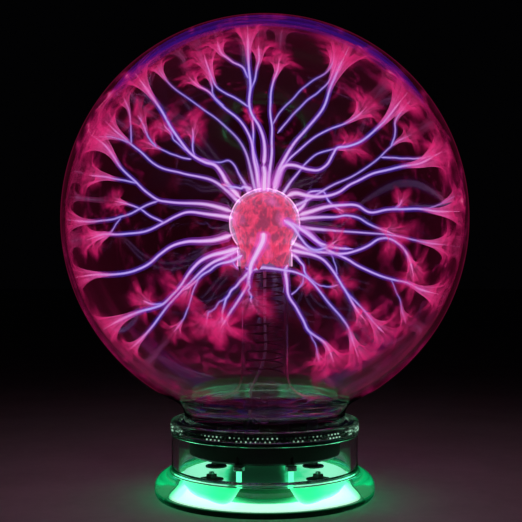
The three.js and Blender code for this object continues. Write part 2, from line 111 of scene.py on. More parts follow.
def refined(name, finish, edge_mm, body="lamp"):
    """A copy of a CAD node with its loose triangles merged, curved sides shaded smooth and edges rounded."""
    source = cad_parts[name]
    mesh = source.data.copy()
    mesh.name = name + "_fine"
    work = bmesh.new()
    work.from_mesh(mesh)
    bmesh.ops.remove_doubles(work, verts=work.verts, dist=2e-6)
    bmesh.ops.dissolve_limit(work, angle_limit=math.radians(1.0), verts=work.verts, edges=work.edges)
    for face in work.faces:
        face.smooth = True
    for edge in work.edges:
        edge.smooth = len(edge.link_faces) == 2 and edge.calc_face_angle(0) < math.radians(CREASE_DEG)
    work.to_mesh(mesh)
    work.free()
    mesh.materials.clear()
    mesh.materials.append(finish)
    piece = bpy.data.objects.new(name + "_fine", mesh)
    bpy.context.collection.objects.link(piece)
    if edge_mm:
        bevel = piece.modifiers.new("rounded edges", "BEVEL")
        bevel.width = edge_mm * MM
        bevel.segments = 2
        bevel.limit_method = "ANGLE"
        bevel.angle_limit = math.radians(CREASE_DEG)
        bevel.harden_normals = False
    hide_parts(name)
    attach(piece, body)
    return piece


# Moulded ABS: near black, a fine eggshell grain that breaks up the highlights.
black_abs = speckled("moulded_black_abs", "#0b0b0d", "#17171a", 0.8, (0.38, 0.52), 0.08)
# Silicone rubber: dark grey, matt, slightly dusty.
foot_rubber = speckled("matt_black_rubber", "#131314", "#232324", 0.5, (0.7, 0.9), 0.15)
# Zinc-plated steel: bright with faint cloudy passivation.
plated_steel = speckled("zinc_plated_steel", "#a9adb0", "#cfd2d4", 1.2, (0.22, 0.36), 0.03, Metallic=1.0)

refined("base_plate", black_abs, 0.3)
for i in range(1, 5):
    refined(f"foot_{i}", foot_rubber, 0.2)
    refined(f"bolt_{i}", plated_steel, 0.15)

# --------------------------------------------------------------------------------------------------
# Lamp inverter: a curved glass-fibre board lying on the white reflector. An amber-taped coil, a white
# ballast capacitor and a small transistor are soldered to it.
# --------------------------------------------------------------------------------------------------
# Solder mask over glass fibre: a deep green, half glossy, that goes nearly black in the shade.
solder_mask = speckled("green_solder_mask", "#123f25", "#1d6238", 2.0, (0.25, 0.4), 0.06)
# Polyimide tape: warm amber, glossy, a little wrinkled.
amber_film = speckled("amber_polyimide_tape", "#9c5f1c", "#d39a44", 1.5, (0.2, 0.35), 0.1)
# Polypropylene: clean white with a soft sheen.
white_case = speckled("white_polypropylene", "#d9dcd6", "#f2f4ef", 1.0, (0.35, 0.5), 0.05)
refined("inverter_board", solder_mask, 0.1)
refined("inverter_coil", amber_film, 0.6)
refined("ballast_capacitor", white_case, 0.4)
refined("inverter_transistor", black_abs, 0.25)

# --------------------------------------------------------------------------------------------------
# Ring lamp: a bent glass discharge tube, phosphor coated, lit. It runs round the foot with a gap at the
# front, where both ends turn up into steel caps under the driver housing.
# --------------------------------------------------------------------------------------------------
def grid_piece(name, points, finish, attributes=(), weld=True):
    """Joins a (rows, columns, 3) array of points, or a list of them, into quads, row by row, and closes the
    columns round. attributes are pairs of a name and a list of arrays, one value for each point."""
    parts = points if isinstance(points, list) else [points]
    corners, quads, start = [], [], 0
    for part in parts:
        rows, columns = part.shape[:2]
        r, c = np.meshgrid(np.arange(rows - 1), np.arange(columns), indexing="ij")
        after = (c + 1) % columns
        low, high = r * columns, (r + 1) * columns
        quads.append(start + np.stack([low + c, low + after, high + after, high + c], -1).reshape(-1, 4))
        corners.append(part.reshape(-1, 3))
        start += rows * columns
    corners, quads = np.concatenate(corners), np.concatenate(quads)
    mesh = bpy.data.meshes.new(name)
    mesh.vertices.add(len(corners))
    mesh.vertices.foreach_set("co", corners.astype(np.float32).ravel())
    mesh.loops.add(quads.size)
    mesh.loops.foreach_set("vertex_index", quads.astype(np.int32).ravel())
    mesh.polygons.add(len(quads))
    mesh.polygons.foreach_set("loop_start", np.arange(0, quads.size, 4, dtype=np.int32))
    mesh.polygons.foreach_set("use_smooth", np.ones(len(quads), bool))
    mesh.update(calc_edges=True)
    for label, values in attributes:
        field = mesh.attributes.new(label, "FLOAT", "POINT")
        field.data.foreach_set("value", np.concatenate([np.ravel(v) for v in values]).astype(np.float32))
    if weld:
        work = bmesh.new()
        work.from_mesh(mesh)
        bmesh.ops.remove_doubles(work, verts=work.verts, dist=1e-7)
        work.to_mesh(mesh)
        work.free()
    mesh.materials.append(finish)
    piece = bpy.data.objects.new(name, mesh)
    bpy.context.collection.objects.link(piece)
    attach(piece, "lamp")
    return piece


def carried(path, radii, sides):
    """A circle of the given radii carried along a path: at each point the circle lies across the path's
    tangent, in a frame that turns as little as it can. Each axis is the last one with its tangent part
    taken off. Both ends close to a point."""
    tangent = np.gradient(path, axis=0)
    tangent /= np.linalg.norm(tangent, axis=1)[:, None]
    across = np.empty_like(path)
    seed = np.array([0.0, 0.0, 1.0]) if abs(tangent[0, 2]) < 0.9 else np.array([1.0, 0.0, 0.0])
    for i, direction in enumerate(tangent):
        seed = seed - direction * (seed @ direction)
        seed = seed / np.linalg.norm(seed)
        across[i] = seed
    upward = np.cross(tangent, across)
    turn = np.linspace(0, 2 * np.pi, sides, endpoint=False)
    ring = np.cos(turn)[None, :, None] * across[:, None] + np.sin(turn)[None, :, None] * upward[:, None]
    radii = np.broadcast_to(radii, len(path))
    tube = path[:, None] + ring * radii[:, None, None]
    first, last = np.repeat(path[:1, None], sides, 1), np.repeat(path[-1:, None], sides, 1)
    return np.concatenate([first, tube, last])


LAMP_RING_R, LAMP_TUBE_R, LAMP_Z = 44.2, 2.6, 7.5
LAMP_END_X, LAMP_END_Y = 11.9, -34.4
LAMP_TOP_Z, LAMP_BEND_Z, LAMP_GAP_DEG = 19.2, 11.8, 22
lamp_turn = np.radians(np.linspace(270 - LAMP_GAP_DEG, LAMP_GAP_DEG - 90, 23))
right_end = [
    (LAMP_END_X + 0.2, LAMP_END_Y - 2.6, LAMP_BEND_Z),
    (LAMP_END_X, LAMP_END_Y, 15.6),
    (LAMP_END_X, LAMP_END_Y, LAMP_TOP_Z),
]
left_end = [(-x, y, z) for x, y, z in reversed(right_end)]
lamp_ring = [(LAMP_RING_R * math.cos(a), LAMP_RING_R * math.sin(a), LAMP_Z) for a in lamp_turn]
lamp_knots = np.array(left_end + lamp_ring + right_end)


def smooth_path(knots, count):
    """A curve through the knots: centripetal Catmull-Rom, each span a cubic whose end slopes come from its
    neighbours, spaced evenly along its length."""
    knots = np.asarray(knots, float)
    padded = np.concatenate([[2 * knots[0] - knots[1]], knots, [2 * knots[-1] - knots[-2]]])
    step = np.sqrt(np.linalg.norm(np.diff(padded, axis=0), axis=1))
    time = np.concatenate([[0], np.cumsum(step)])
    fine = []
    for i in range(1, len(padded) - 2):
        t = np.linspace(time[i], time[i + 1], 24, endpoint=i == len(padded) - 3)[:, None]
        t0, t1, t2, t3 = time[i - 1 : i + 3]
        p0, p1, p2, p3 = padded[i - 1 : i + 3]
        a1 = (t1 - t) / (t1 - t0) * p0 + (t - t0) / (t1 - t0) * p1
        a2 = (t2 - t) / (t2 - t1) * p1 + (t - t1) / (t2 - t1) * p2
        a3 = (t3 - t) / (t3 - t2) * p2 + (t - t2) / (t3 - t2) * p3
        b1 = (t2 - t) / (t2 - t0) * a1 + (t - t0) / (t2 - t0) * a2
        b2 = (t3 - t) / (t3 - t1) * a2 + (t - t1) / (t3 - t1) * a3
        fine.append((t2 - t) / (t2 - t1) * b1 + (t - t1) / (t2 - t1) * b2)
    fine = np.concatenate(fine)
    length = np.concatenate([[0], np.cumsum(np.linalg.norm(np.diff(fine, axis=0), axis=1))])
    even = np.linspace(0, length[-1], count)
    return np.stack([np.interp(even, length, fine[:, k]) for k in range(3)], -1)


LAMP_SIDES, LAMP_END_R = 20, 1.25
lamp_path = smooth_path(lamp_knots, 260)
risen = np.clip((lamp_path[:, 2] - 8.5) / 5.0, 0, 1)
from_gap = np.degrees(np.abs(np.arctan2(lamp_path[:, 0], -lamp_path[:, 1])))
# The tube glows weakly beside its gap and comes up to full light over 34 degrees.
NEAR_GAP = 0.42
ring_charge = NEAR_GAP + (1 - NEAR_GAP) * np.clip((from_gap - 26) / 34, 0, 1)
tube_charge = np.where(risen > 0, NEAR_GAP + 0.5 * risen, ring_charge)
charge = np.repeat(np.concatenate([[0.0], tube_charge, [0.0]]), LAMP_SIDES)
# Phosphor: a bright green-white glow round the ring, dull green towards the cold ends.
lit_phosphor, tree, phosphor_shader = material(
    "lit_green_phosphor_tube", {"Base Color": linear("#b9d8c6"), "Roughness": 0.3, "Emission Strength": 1.7}
)
charged = node(tree, "ShaderNodeAttribute", {"attribute_name": "charge"})
phosphor_stops = {"stops": [(0.0, "#0a5c38"), (0.5, "#1fd68a"), (1.0, "#6dffc2")]}
phosphor = node(tree, "ShaderNodeValToRGB", phosphor_stops, Fac=charged.outputs["Fac"])
tree.links.new(phosphor_shader.inputs["Emission Color"], phosphor.outputs["Color"])
lamp = grid_piece(
    "ring_lamp_tube",
    carried(lamp_path * MM, (LAMP_TUBE_R + (LAMP_END_R - LAMP_TUBE_R) * risen) * MM, LAMP_SIDES),
    lit_phosphor,
    attributes=[("charge", [charge])],
)
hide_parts("ring_lamp")
for side in ("left", "right"):
    refined(f"lamp_cap_{side}", plated_steel, 0.3)

# --------------------------------------------------------------------------------------------------
# Floor of the lit space: a white reflector under the lamp and over it a plate of translucent white acrylic.
# Both carry the lamp's light painted on as emission: the reflector brightest at its rim and towards the
# front, the acrylic green near the tube, with painted shade over the inverter. Black moulded spacers and
# flanged nuts on the bolts hold both.
# --------------------------------------------------------------------------------------------------
NEAR_CORNER, FAR_APART, SHARP_DEG = 0.12, 3.0, 14


def supported(profile):
    """The closed profile with a point NEAR_CORNER to each side of every sharp corner and none more than
    FAR_APART on long straights, so that smooth shading stays true to the surface. Spans on the axis are
    left whole."""
    profile = profile[np.linalg.norm(np.roll(profile, -1, 0) - profile, axis=1) > 1e-4]
    ahead = np.roll(profile, -1, 0) - profile
    length = np.linalg.norm(ahead, axis=1)
    unit = ahead / length[:, None]
    sharp = np.sum(unit * np.roll(unit, 1, 0), 1) < math.cos(math.radians(SHARP_DEG))
    made = []
    for start, run, span, here, there in zip(profile, unit, length, sharp, np.roll(sharp, -1)):
        first = NEAR_CORNER if here and span > 3 * NEAR_CORNER else 0.0
        last = span - NEAR_CORNER if there and span > 3 * NEAR_CORNER else span
        if start[0] < 1e-6 and abs(run[0]) < 1e-6:
            first, last, count = 0.0, span, 1
        else:
            count = int(math.ceil((last - first) / FAR_APART))
        stops = np.unique(np.concatenate([[0.0], np.linspace(first, last, count + 1)]))
        made += [start + run * stop for stop in stops if stop < span - 1e-6]
    return np.array(made)


def turned(profile_mm, sides):
    """Carries a (radius, height) profile in mm round +Z. The sign of its shoelace area, the sum of
    r z' - r' z over its spans, sets which way it runs, so that the faces always point outwards."""
    profile = supported(np.asarray(profile_mm, float))
    if profile[0, 0] + profile[-1, 0] > 1e-9:
        profile = np.concatenate([profile, profile[:1]])
    r, z = profile.T
    area = np.sum(r * np.roll(z, -1) - np.roll(r, -1) * z)
    if area < 0:
        r, z = r[::-1], z[::-1]
    turn = np.linspace(0, 2 * np.pi, sides, endpoint=False)
    ring = np.stack([np.cos(turn), np.sin(turn)], -1)
    points = np.empty((len(r), sides, 3))
    points[:, :, :2] = r[:, None, None] * ring[None]
    points[:, :, 2] = z[:, None]
    return points * MM


def rounded(corners, radius, steps=5):
    """The profile with each inner corner replaced by a quadratic bend that starts and ends radius away:
    (1 - t) squared of the start, 2 t (1 - t) of the corner and t squared of the end."""
    corners = np.asarray(corners, float)
    made = [corners[:1]]
    for before, here, after in zip(corners, corners[1:], corners[2:]):
        a, b = before - here, after - here
        reach = min(radius, 0.45 * np.linalg.norm(a), 0.45 * np.linalg.norm(b))
        start, end = here + a / np.linalg.norm(a) * reach, here + b / np.linalg.norm(b) * reach
        t = np.linspace(0, 1, steps)[:, None]
        made.append((1 - t) ** 2 * start + 2 * t * (1 - t) * here + t**2 * end)
    return np.concatenate(made + [corners[-1:]])


# The tube without its two upright ends, which shine little.
lamp_line = smooth_path(lamp_knots, 120)[8:-8]
LEAST_GAP, LIGHT_SCALE = 6.0, 12.0


def lamp_light(points_mm):
    """How much of the tube's light reaches each point: the sum over the tube's points of 1 / (distance
    squared plus LEAST_GAP squared), times LIGHT_SCALE."""
    gap = points_mm[..., None, :] - lamp_line
    return np.sum(1 / (np.sum(gap**2, -1) + LEAST_GAP**2), -1) * LIGHT_SCALE


def lit_plate(name, points, light, stops):
    """A plate painted with lamp light: its emission follows light, one value for each point, through a ramp
    of (position, colour) stops, in soft clouds: dark green where little light falls, mint white where the
    tube is near."""
    made, tree, shader = material(
        name, {"Base Color": linear("#dff5ea"), "Roughness": 0.45, "Emission Strength": 1.0}
    )
    glow = node(tree, "ShaderNodeAttribute", {"attribute_name": "lamp_light"})
    place = node(tree, "ShaderNodeTexCoord").outputs["Object"]
    cloud = node(tree, "ShaderNodeTexNoise", {"Scale": 260.0, "Detail": 3.0}, Vector=place)
    uneven = node(tree, "ShaderNodeMapRange", {"To Min": 0.75, "To Max": 1.2}, Value=cloud.outputs[0])
    product = {"operation": "MULTIPLY"}
    level = node(tree, "ShaderNodeMath", product, i0=glow.outputs["Fac"], i1=uneven.outputs[0])
    ramp = node(tree, "ShaderNodeValToRGB", {"stops": stops}, Fac=level.outputs[0])
    tree.links.new(shader.inputs["Emission Color"], ramp.outputs["Color"])
    made.cycles.emission_sampling = "NONE"
    return grid_piece(name, points, made, attributes=[("lamp_light", [light])])


def eased(value, low, high):
    """A smooth step: nought below low, one above high, 3t squared less 2t cubed between."""
    t = np.clip((value - low) / (high - low), 0, 1)
    return t * t * (3 - 2 * t)


def slab(radius, low, top):
    """Half the outline of a round plate, from its axis out and back."""
    return [(0, low), (radius, low), (radius, top), (0, top)]


REFLECTOR_R, RIM_LIT_R, REFLECTOR_LOW, REFLECTOR_TOP = 48.8, 41.2, 3.6, 4.2
reflector_edge = rounded(slab(REFLECTOR_R, REFLECTOR_LOW, REFLECTOR_TOP), 0.2)
close_rows = [(r, REFLECTOR_TOP) for r in np.arange(48, 36, -0.75)]
reflector_points = turned(np.concatenate([reflector_edge[:-1], close_rows, reflector_edge[-1:]]), 200)
from_axis = np.hypot(reflector_points[..., 0], reflector_points[..., 1]) / MM
frontness = -reflector_points[..., 1] / MM / np.maximum(from_axis, 1)
# Painted lamp light on the reflector: a bright band at its rim, stronger towards the front, and a glow on its
# floor near the tube.
rim_light = eased(from_axis, RIM_LIT_R - 0.6, RIM_LIT_R + 0.6) * (0.42 + 0.58 * eased(frontness, 0.15, 0.85))
floor_light = 0.36 * np.clip(lamp_light(reflector_points / MM), 0, 1.4)
reflector = lit_plate(
    "reflector_painted_lamp_light",
    reflector_points,
    np.maximum(rim_light, floor_light),
    [(0.05, "#02140b"), (0.3, "#0a7a47"), (0.55, "#2fe09a"), (0.75, "#e6fff4")],
)
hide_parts("reflector_disc")
# Painted shade: the inverter under the diffuser darkens the strip where |x + BOARD_X| is under BOARD_HALF_X.
BOARD_X, BOARD_HALF_X = 4.0, 13.0
DIFFUSER_R, DIFFUSER_LOW, DIFFUSER_TOP = 41.2, 11, 12.4
diffuser_edge = rounded(slab(DIFFUSER_R, DIFFUSER_LOW, DIFFUSER_TOP), 0.5)
diffuser_points = turned(diffuser_edge, 200)
beside_board = eased(np.abs(diffuser_points[..., 0] / MM + BOARD_X), BOARD_HALF_X - 1.5, BOARD_HALF_X + 1.5)
# Painted lamp light on the diffuser, with painted shade over the inverter.
diffuser = lit_plate(
    "diffuser_painted_lamp_light",
    diffuser_points,
    np.clip(lamp_light(diffuser_points / MM), 0, 1.2) * (0.16 + 0.84 * beside_board),
    [(0.08, "#020d07"), (0.4, "#0b6b3f"), (0.7, "#35dd98"), (1.0, "#a8ffdc")],
)
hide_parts("diffuser_plate")
for i in range(1, 5):
    refined(f"spacer_{i}", black_abs, 0.2)
    refined(f"flange_nut_{i}", black_abs, 0.2)

# --------------------------------------------------------------------------------------------------
# Base shell: moulded clear glass with a faint green body, a straight wall over a bulging foot, open
# underneath and with a window at the back for the panel. The ring lamp shines through the foot.
# --------------------------------------------------------------------------------------------------
def clear_glass(name, tint, rough, ior, ripple_mm=0.0, depth=0.0):
    """Glass: a Principled shader with full transmission. ripple_mm is the spacing of its faint waves."""
    made, tree, shader = material(
        name, {"Base Color": linear(tint), "Transmission Weight": 1.0, "IOR": ior, "Roughness": rough}
    )
    if ripple_mm:
        place = node(tree, "ShaderNodeTexCoord").outputs["Object"]
        wave = node(tree, "ShaderNodeTexNoise", {"Scale": 1 / (ripple_mm * MM), "Detail": 1.0}, Vector=place)
        shallow = {"Strength": depth, "Distance": 0.3 * MM}
        relief = node(tree, "ShaderNodeBump", shallow, Height=wave.outputs[0])
        tree.links.new(shader.inputs["Normal"], relief.outputs[0])
    return made


def bend(a, b, c, steps):
    """A quadratic bend from a to c with its corner at b."""
    t = np.linspace(0, 1, steps)[:, None]
    a, b, c = (np.array(p, float) for p in (a, b, c))
    return (1 - t) ** 2 * a + 2 * t * (1 - t) * b + t**2 * c


# Radii of the foot and the wall, outside and inside, and the height of the shell's top, in mm.
FOOT_R, FOOT_INNER_R, SHELL_R, SHELL_INNER_R, SHELL_TOP = 54.6, 49.6, 46.2, 42.8, 31.8
# Moulded glass: clear, faintly green, with slow waves that bend what stands behind it.
moulded_glass = clear_glass("moulded_base_glass", "#e4fff2", 0.02, 1.47, 9.0, 0.08)
shell_profile = np.concatenate(
    [
        [(FOOT_INNER_R, 0.8)],
        bend((FOOT_R - 2, 0.8), (FOOT_R, 1.6), (FOOT_R, 5), 8),
        bend((FOOT_R, 5), (FOOT_R, 11.4), (48, 13.3), 14),
        rounded([(48, 13.3), (47.2, 13.4), (47.2, 14), (SHELL_R, 14.6), (SHELL_R, SHELL_TOP)], 0.4),
        [(SHELL_INNER_R, SHELL_TOP)],
        bend((SHELL_INNER_R, 15.5), (FOOT_INNER_R, 13), (FOOT_INNER_R, 5), 14),
    ]
)
shell = grid_piece("base_shell_glass", turned(shell_profile, 256), moulded_glass)
# The window for the rear panel is cut out of the wall, and the cutter then goes.
cutter_size = (39.2, 20, 15.2)
cutter_place = (0, 46, 23)
corner = np.array([[x, y, z] for x in (-0.5, 0.5) for y in (-0.5, 0.5) for z in (-0.5, 0.5)])
cutter_mesh = bpy.data.meshes.new("window_cutter")
cutter_mesh.from_pydata(
    ((corner * cutter_size + cutter_place) * MM).tolist(),
    [],
    [(0, 1, 3, 2), (4, 6, 7, 5), (0, 4, 5, 1), (2, 3, 7, 6), (0, 2, 6, 4), (1, 5, 7, 3)],
)
cutter = bpy.data.objects.new("window_cutter", cutter_mesh)
bpy.context.collection.objects.link(cutter)
opening = shell.modifiers.new("rear window", "BOOLEAN")
opening.object = cutter
opening.operation = "DIFFERENCE"
opening.solver = "EXACT"
shown = shell.evaluated_get(bpy.context.evaluated_depsgraph_get())
cut_mesh = bpy.data.meshes.new_from_object(shown)
shell.modifiers.clear()
shell.data = cut_mesh
bpy.data.objects.remove(cutter)
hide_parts("base_shell")
shell.visible_shadow = False


def volume_glow(name, colour, strength):
    """Even emission through a space, with no surface: it adds up along the line of sight, so a thin shell
    of it is bright at its edge."""
    made = bpy.data.materials.new(name)
    made.use_nodes = True
    tree = made.node_tree
    tree.nodes.clear()
    light = node(tree, "ShaderNodeEmission", {"Color": linear(colour), "Strength": strength})
    node(tree, "ShaderNodeOutputMaterial", Volume=light.outputs[0])
    return made


foot_light_profile = np.concatenate(
    [
        [(FOOT_INNER_R + 0.3, 3.4)],
        bend((FOOT_R - 2, 3.4), (FOOT_R - 0.3, 3.8), (FOOT_R - 0.3, 6), 8),
        bend((FOOT_R - 0.3, 6), (FOOT_R - 0.3, 11), (47.8, 13), 14),
        [(46.9, 13.9), (45.9, 14.8)],
        bend((43.6, 15.2), (FOOT_INNER_R + 0.3, 12.9), (FOOT_INNER_R + 0.3, 5), 14),
    ]
)
# Lamp light held in the glass of the foot, painted as an emitting volume: an even deep green that gathers at
# the bulge's edge.
green_glow = volume_glow("lamp_light_in_glass", "#0fc070", 36.0)
foot_light = grid_piece("foot_light_in_glass", turned(foot_light_profile, 200), green_glow)
foot_light.visible_shadow = False

# --------------------------------------------------------------------------------------------------
# Driver housing: a black moulded drum that hangs in the shell by its flange, with the high-voltage board
# screwed down inside: a ferrite loop with its taped winding, a finned heat sink, a transistor,
# capacitors and a trimmer. Two insulated leads run to the rear panel.
# --------------------------------------------------------------------------------------------------
# Sintered ferrite: dark grey, matt and gritty.
ferrite = speckled("sintered_ferrite", "#26272a", "#3d3f43", 0.6, (0.5, 0.7), 0.2)
# Extruded aluminium: pale grey metal with a soft, broken shine.
aluminium = speckled("extruded_aluminium", "#a5a8ab", "#c6c9cc", 0.9, (0.3, 0.45), 0.05, Metallic=1.0)
# PVC insulation: plain red with a dull sheen.
red_pvc = speckled("red_pvc_insulation", "#8a1414", "#b42222", 1.0, (0.35, 0.5), 0.05)
# Winding tape soaked in varnish: dark brown, nearly black in the drum.
varnished_tape = speckled("varnished_winding_tape", "#1c0e06", "#35190a", 1.2, (0.3, 0.5), 0.1)
refined("driver_housing", black_abs, 0.35)
refined("driver_board", solder_mask, 0.1)
for name in ("board_screw_1", "board_screw_2", "board_screw_3"):
    refined(name, plated_steel, 0.1)
refined("flyback_core", ferrite, 0.3)
refined("flyback_winding", varnished_tape, 0.4)
refined("heat_sink", aluminium, 0.15)
refined("power_transistor", black_abs, 0.3)
refined("filter_capacitor", black_abs, 0.4)
refined("timing_capacitor", black_abs, 0.3)
refined("film_capacitor", amber_film, 0.5)
refined("trimmer", white_case, 0.2)
refined("power_lead", red_pvc, 0)
refined("switch_lead", black_abs, 0)

# --------------------------------------------------------------------------------------------------
# Rear panel: a black moulded strip held by two steel screws, with the power inlet and its pin, the metal
# frame of the three-position switch, its white slider, and a small metal microphone behind a hole.
# --------------------------------------------------------------------------------------------------
refined("rear_panel", black_abs, 0.35)
refined("panel_screw_1", plated_steel, 0.2)
refined("panel_screw_2", plated_steel, 0.2)
refined("microphone", aluminium, 0.2)
refined("dc_jack", black_abs, 0.25)
refined("dc_jack_pin", plated_steel, 0.25)
refined("switch_frame", plated_steel, 0.15)
refined("switch_slider", white_case, 0.3, body="switch")

# --------------------------------------------------------------------------------------------------
# Collar: a clear moulded ring with two rows of small beads, pressed over the housing's flange, and the
# black rubber gasket that seats the globe's neck.
# --------------------------------------------------------------------------------------------------
COLLAR_R, COLLAR_LOW, COLLAR_TOP, GASKET_R, FLANGE_R, DRUM_TOP = 46.9, 31.9, 38.6, 41.6, 44.4, 33.3
collar_profile = rounded(
    [
        (FLANGE_R + 0.3, COLLAR_LOW + 0.5),
        (FLANGE_R + 0.3, COLLAR_LOW),
        (COLLAR_R - 0.5, COLLAR_LOW),
        (COLLAR_R, COLLAR_LOW + 0.9),
        (COLLAR_R - 0.6, COLLAR_LOW + 1.9),
        (COLLAR_R - 0.6, COLLAR_TOP - 2),
        (COLLAR_R, COLLAR_TOP - 1),
        (COLLAR_R - 0.5, COLLAR_TOP),
        (GASKET_R + 0.8, COLLAR_TOP),
        (GASKET_R + 0.3, COLLAR_TOP - 1),
        (GASKET_R + 0.3, DRUM_TOP + 0.3),
        (FLANGE_R + 0.3, DRUM_TOP + 0.3),
        (FLANGE_R + 0.3, COLLAR_LOW + 0.6),
    ],
    0.5,
)
collar = grid_piece("collar_ring_glass", turned(collar_profile, 256), moulded_glass)
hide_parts("collar_ring")
collar.visible_shadow = False

BEAD_R = 0.42


def bead_row(radius_mm, height_mm, count, phase):
    """Small spheres set evenly round a circle: 8 by 5 faces each."""
    polar = np.linspace(0, np.pi, 6)
    turn = np.linspace(0, 2 * np.pi, 8, endpoint=False)
    ball = np.stack(
        [
            np.sin(polar)[:, None] * np.cos(turn),
            np.sin(polar)[:, None] * np.sin(turn),
            np.repeat(-np.cos(polar)[:, None], 8, 1),
        ],
        -1,
    )
    around = 2 * np.pi * (np.arange(count) + phase) / count
    place = np.stack([radius_mm * np.cos(around), radius_mm * np.sin(around), np.full(count, height_mm)], -1)
    return [(ball * BEAD_R + p) * MM for p in place]


# Glass beads: dark, with painted glints: emission lights every few of them pale green, standing for the lamp
# below.
bead_glass, bead_tree, bead_shader = material(
    "glass_bead_painted_glints",
    {"Base Color": linear("#16281f"), "Roughness": 0.12, "Emission Strength": 0.85},
)
bead_place = node(bead_tree, "ShaderNodeTexCoord").outputs["Object"]
bead_noise = node(bead_tree, "ShaderNodeTexNoise", {"Scale": 190.0, "Detail": 2.0}, Vector=bead_place)
bead_stops = {"stops": [(0.45, "#06170e"), (0.68, "#b8f4d2")]}
bead_ramp = node(bead_tree, "ShaderNodeValToRGB", bead_stops, Fac=bead_noise.outputs[0])
bead_tree.links.new(bead_shader.inputs["Emission Color"], bead_ramp.outputs["Color"])
bead_glass.cycles.emission_sampling = "NONE"
BEAD_ROW_R, BEADS_IN_ROW = COLLAR_R - 0.45, 132
low_row = bead_row(BEAD_ROW_R, COLLAR_LOW + 2.6, BEADS_IN_ROW, 0.0)
high_row = bead_row(BEAD_ROW_R, COLLAR_TOP - 2.5, BEADS_IN_ROW, 0.5)
grid_piece("collar_beads", low_row + high_row, bead_glass)
refined("neck_gasket", foot_rubber, 0.2)

# --------------------------------------------------------------------------------------------------
# Globe: blown clear soda glass, a sphere that draws in to a short neck. Its wall is thicker towards the
# top, and the neck stands in the rubber gasket.
# --------------------------------------------------------------------------------------------------
GLOBE_R, GLOBE_Z, WALL, TOP_WALL, NECK_R, NECK_INNER_R, NECK_END = 100.0, 138.0, 1.8, 3.4, 40.0, 37.4, 35.6


def neck_outline(radius, half_height, neck_r, meet_r, straight_z):
    """Ellipse from its top down to radius meet_r, then a quadratic bend into the straight neck."""
    meet = -math.acos(meet_r / radius)
    angle = np.linspace(math.pi / 2, meet, 150)
    sphere = np.stack([radius * np.cos(angle), GLOBE_Z + half_height * np.sin(angle)], -1)
    sphere[0, 0] = 0
    slope = half_height / radius * meet_r / math.sqrt(radius**2 - meet_r**2)
    corner_point = (neck_r, sphere[-1, 1] - (meet_r - neck_r) * slope)
    return np.concatenate([sphere[:-1], bend(sphere[-1], corner_point, (neck_r, straight_z), 12)])


# Blown glass: colourless and clean, so smooth that only its edge and its reflections show.
blown_glass = clear_glass("blown_soda_glass", "#fbfdff", 0.0, 1.45, 40.0, 0.02)
outer = neck_outline(GLOBE_R, GLOBE_R, NECK_R, 46, 41)
inner = neck_outline(GLOBE_R - WALL, GLOBE_R - TOP_WALL, NECK_INNER_R, 43.2, 42)
neck_lip = [(NECK_R, NECK_END + 0.2), (NECK_R - 0.3, NECK_END), (NECK_INNER_R, NECK_END)]
globe_profile = np.concatenate([outer, neck_lip, inner[::-1]])
globe = grid_piece("globe_glass", turned(globe_profile, 256), blown_glass)
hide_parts("globe")
globe.visible_shadow = False

# --------------------------------------------------------------------------------------------------
# Stem: a drawn glass tube that rises from the flare that closes the neck, with the electrode bulb blown
# on its top, and the sealed pump-off tip under the flare.
# --------------------------------------------------------------------------------------------------
BULB_R, BULB_Z, SKIRT_R, TUBE_R, STEM_WALL = 17.3, 136.0, 13.4, 11.8, 0.8


def stem_outline(offset):
    """Bulb, skirt, tube and flare, each moved in by offset."""
    bulb_r, skirt_r, tube_r, flare_r = (v - offset for v in (BULB_R, SKIRT_R, TUBE_R, NECK_INNER_R - 0.3))
    shoulder = 46.8 - offset
    angle = np.linspace(math.pi / 2, -math.acos(skirt_r / bulb_r), 60)
    bulb = np.stack([bulb_r * np.cos(angle), BULB_Z + bulb_r * np.sin(angle)], -1)
    bulb[0, 0] = 0
    return np.concatenate(
        [
            bulb[:-2],
            bend(bulb[-2], (skirt_r, bulb[-1, 1] - 1), (skirt_r, 116), 8),
            bend((skirt_r, 115), (skirt_r - 0.2, 112), (tube_r, 109), 8),
            bend((tube_r, 62), (tube_r, shoulder + 2), (24, shoulder + 1), 14),
            bend((24, shoulder + 1), (flare_r, shoulder), (flare_r, 40), 12)[1:],
            [(flare_r, NECK_END)],
        ]
    )


# Drawn glass: very thin and clear, a pale outline round the wool and the coil.
stem_glass = clear_glass("drawn_stem_glass", "#f4f8fb", 0.0, 1.3)
stem_profile = np.concatenate([stem_outline(0), stem_outline(STEM_WALL)[::-1]])
stem = grid_piece("stem_bulb_glass", turned(stem_profile, 128), stem_glass)
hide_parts("stem_bulb")
stem.visible_shadow = False
refined("exhaust_tip", stem_glass, 0)

# --------------------------------------------------------------------------------------------------
# Electrode: a crumpled ball of metal wool pushed up into the bulb, with a ragged edge in the skirt. The
# discharge's light is painted on it as crimson emission, with painted shade in its folds and pale pink in
# patches.
# --------------------------------------------------------------------------------------------------
def waves(points_mm, size_mm, count, seed):
    """A smooth random field: the sum of count plane waves of random direction and phase, each of a
    wavelength near size_mm, times the root of 2 / count, which makes its spread 1."""
    pick = np.random.default_rng(seed)
    direction = pick.normal(size=(count, 3))
    direction /= np.linalg.norm(direction, axis=1)[:, None]
    pitch = 2 * np.pi / (size_mm * pick.uniform(0.7, 1.4, count))
    phase = pick.uniform(0, 2 * np.pi, count)
    field = np.zeros(points_mm.shape[:-1])
    for d, k, p in zip(direction, pitch, phase):
        field += np.cos(points_mm @ d * k + p)
    return field * math.sqrt(2 / count)


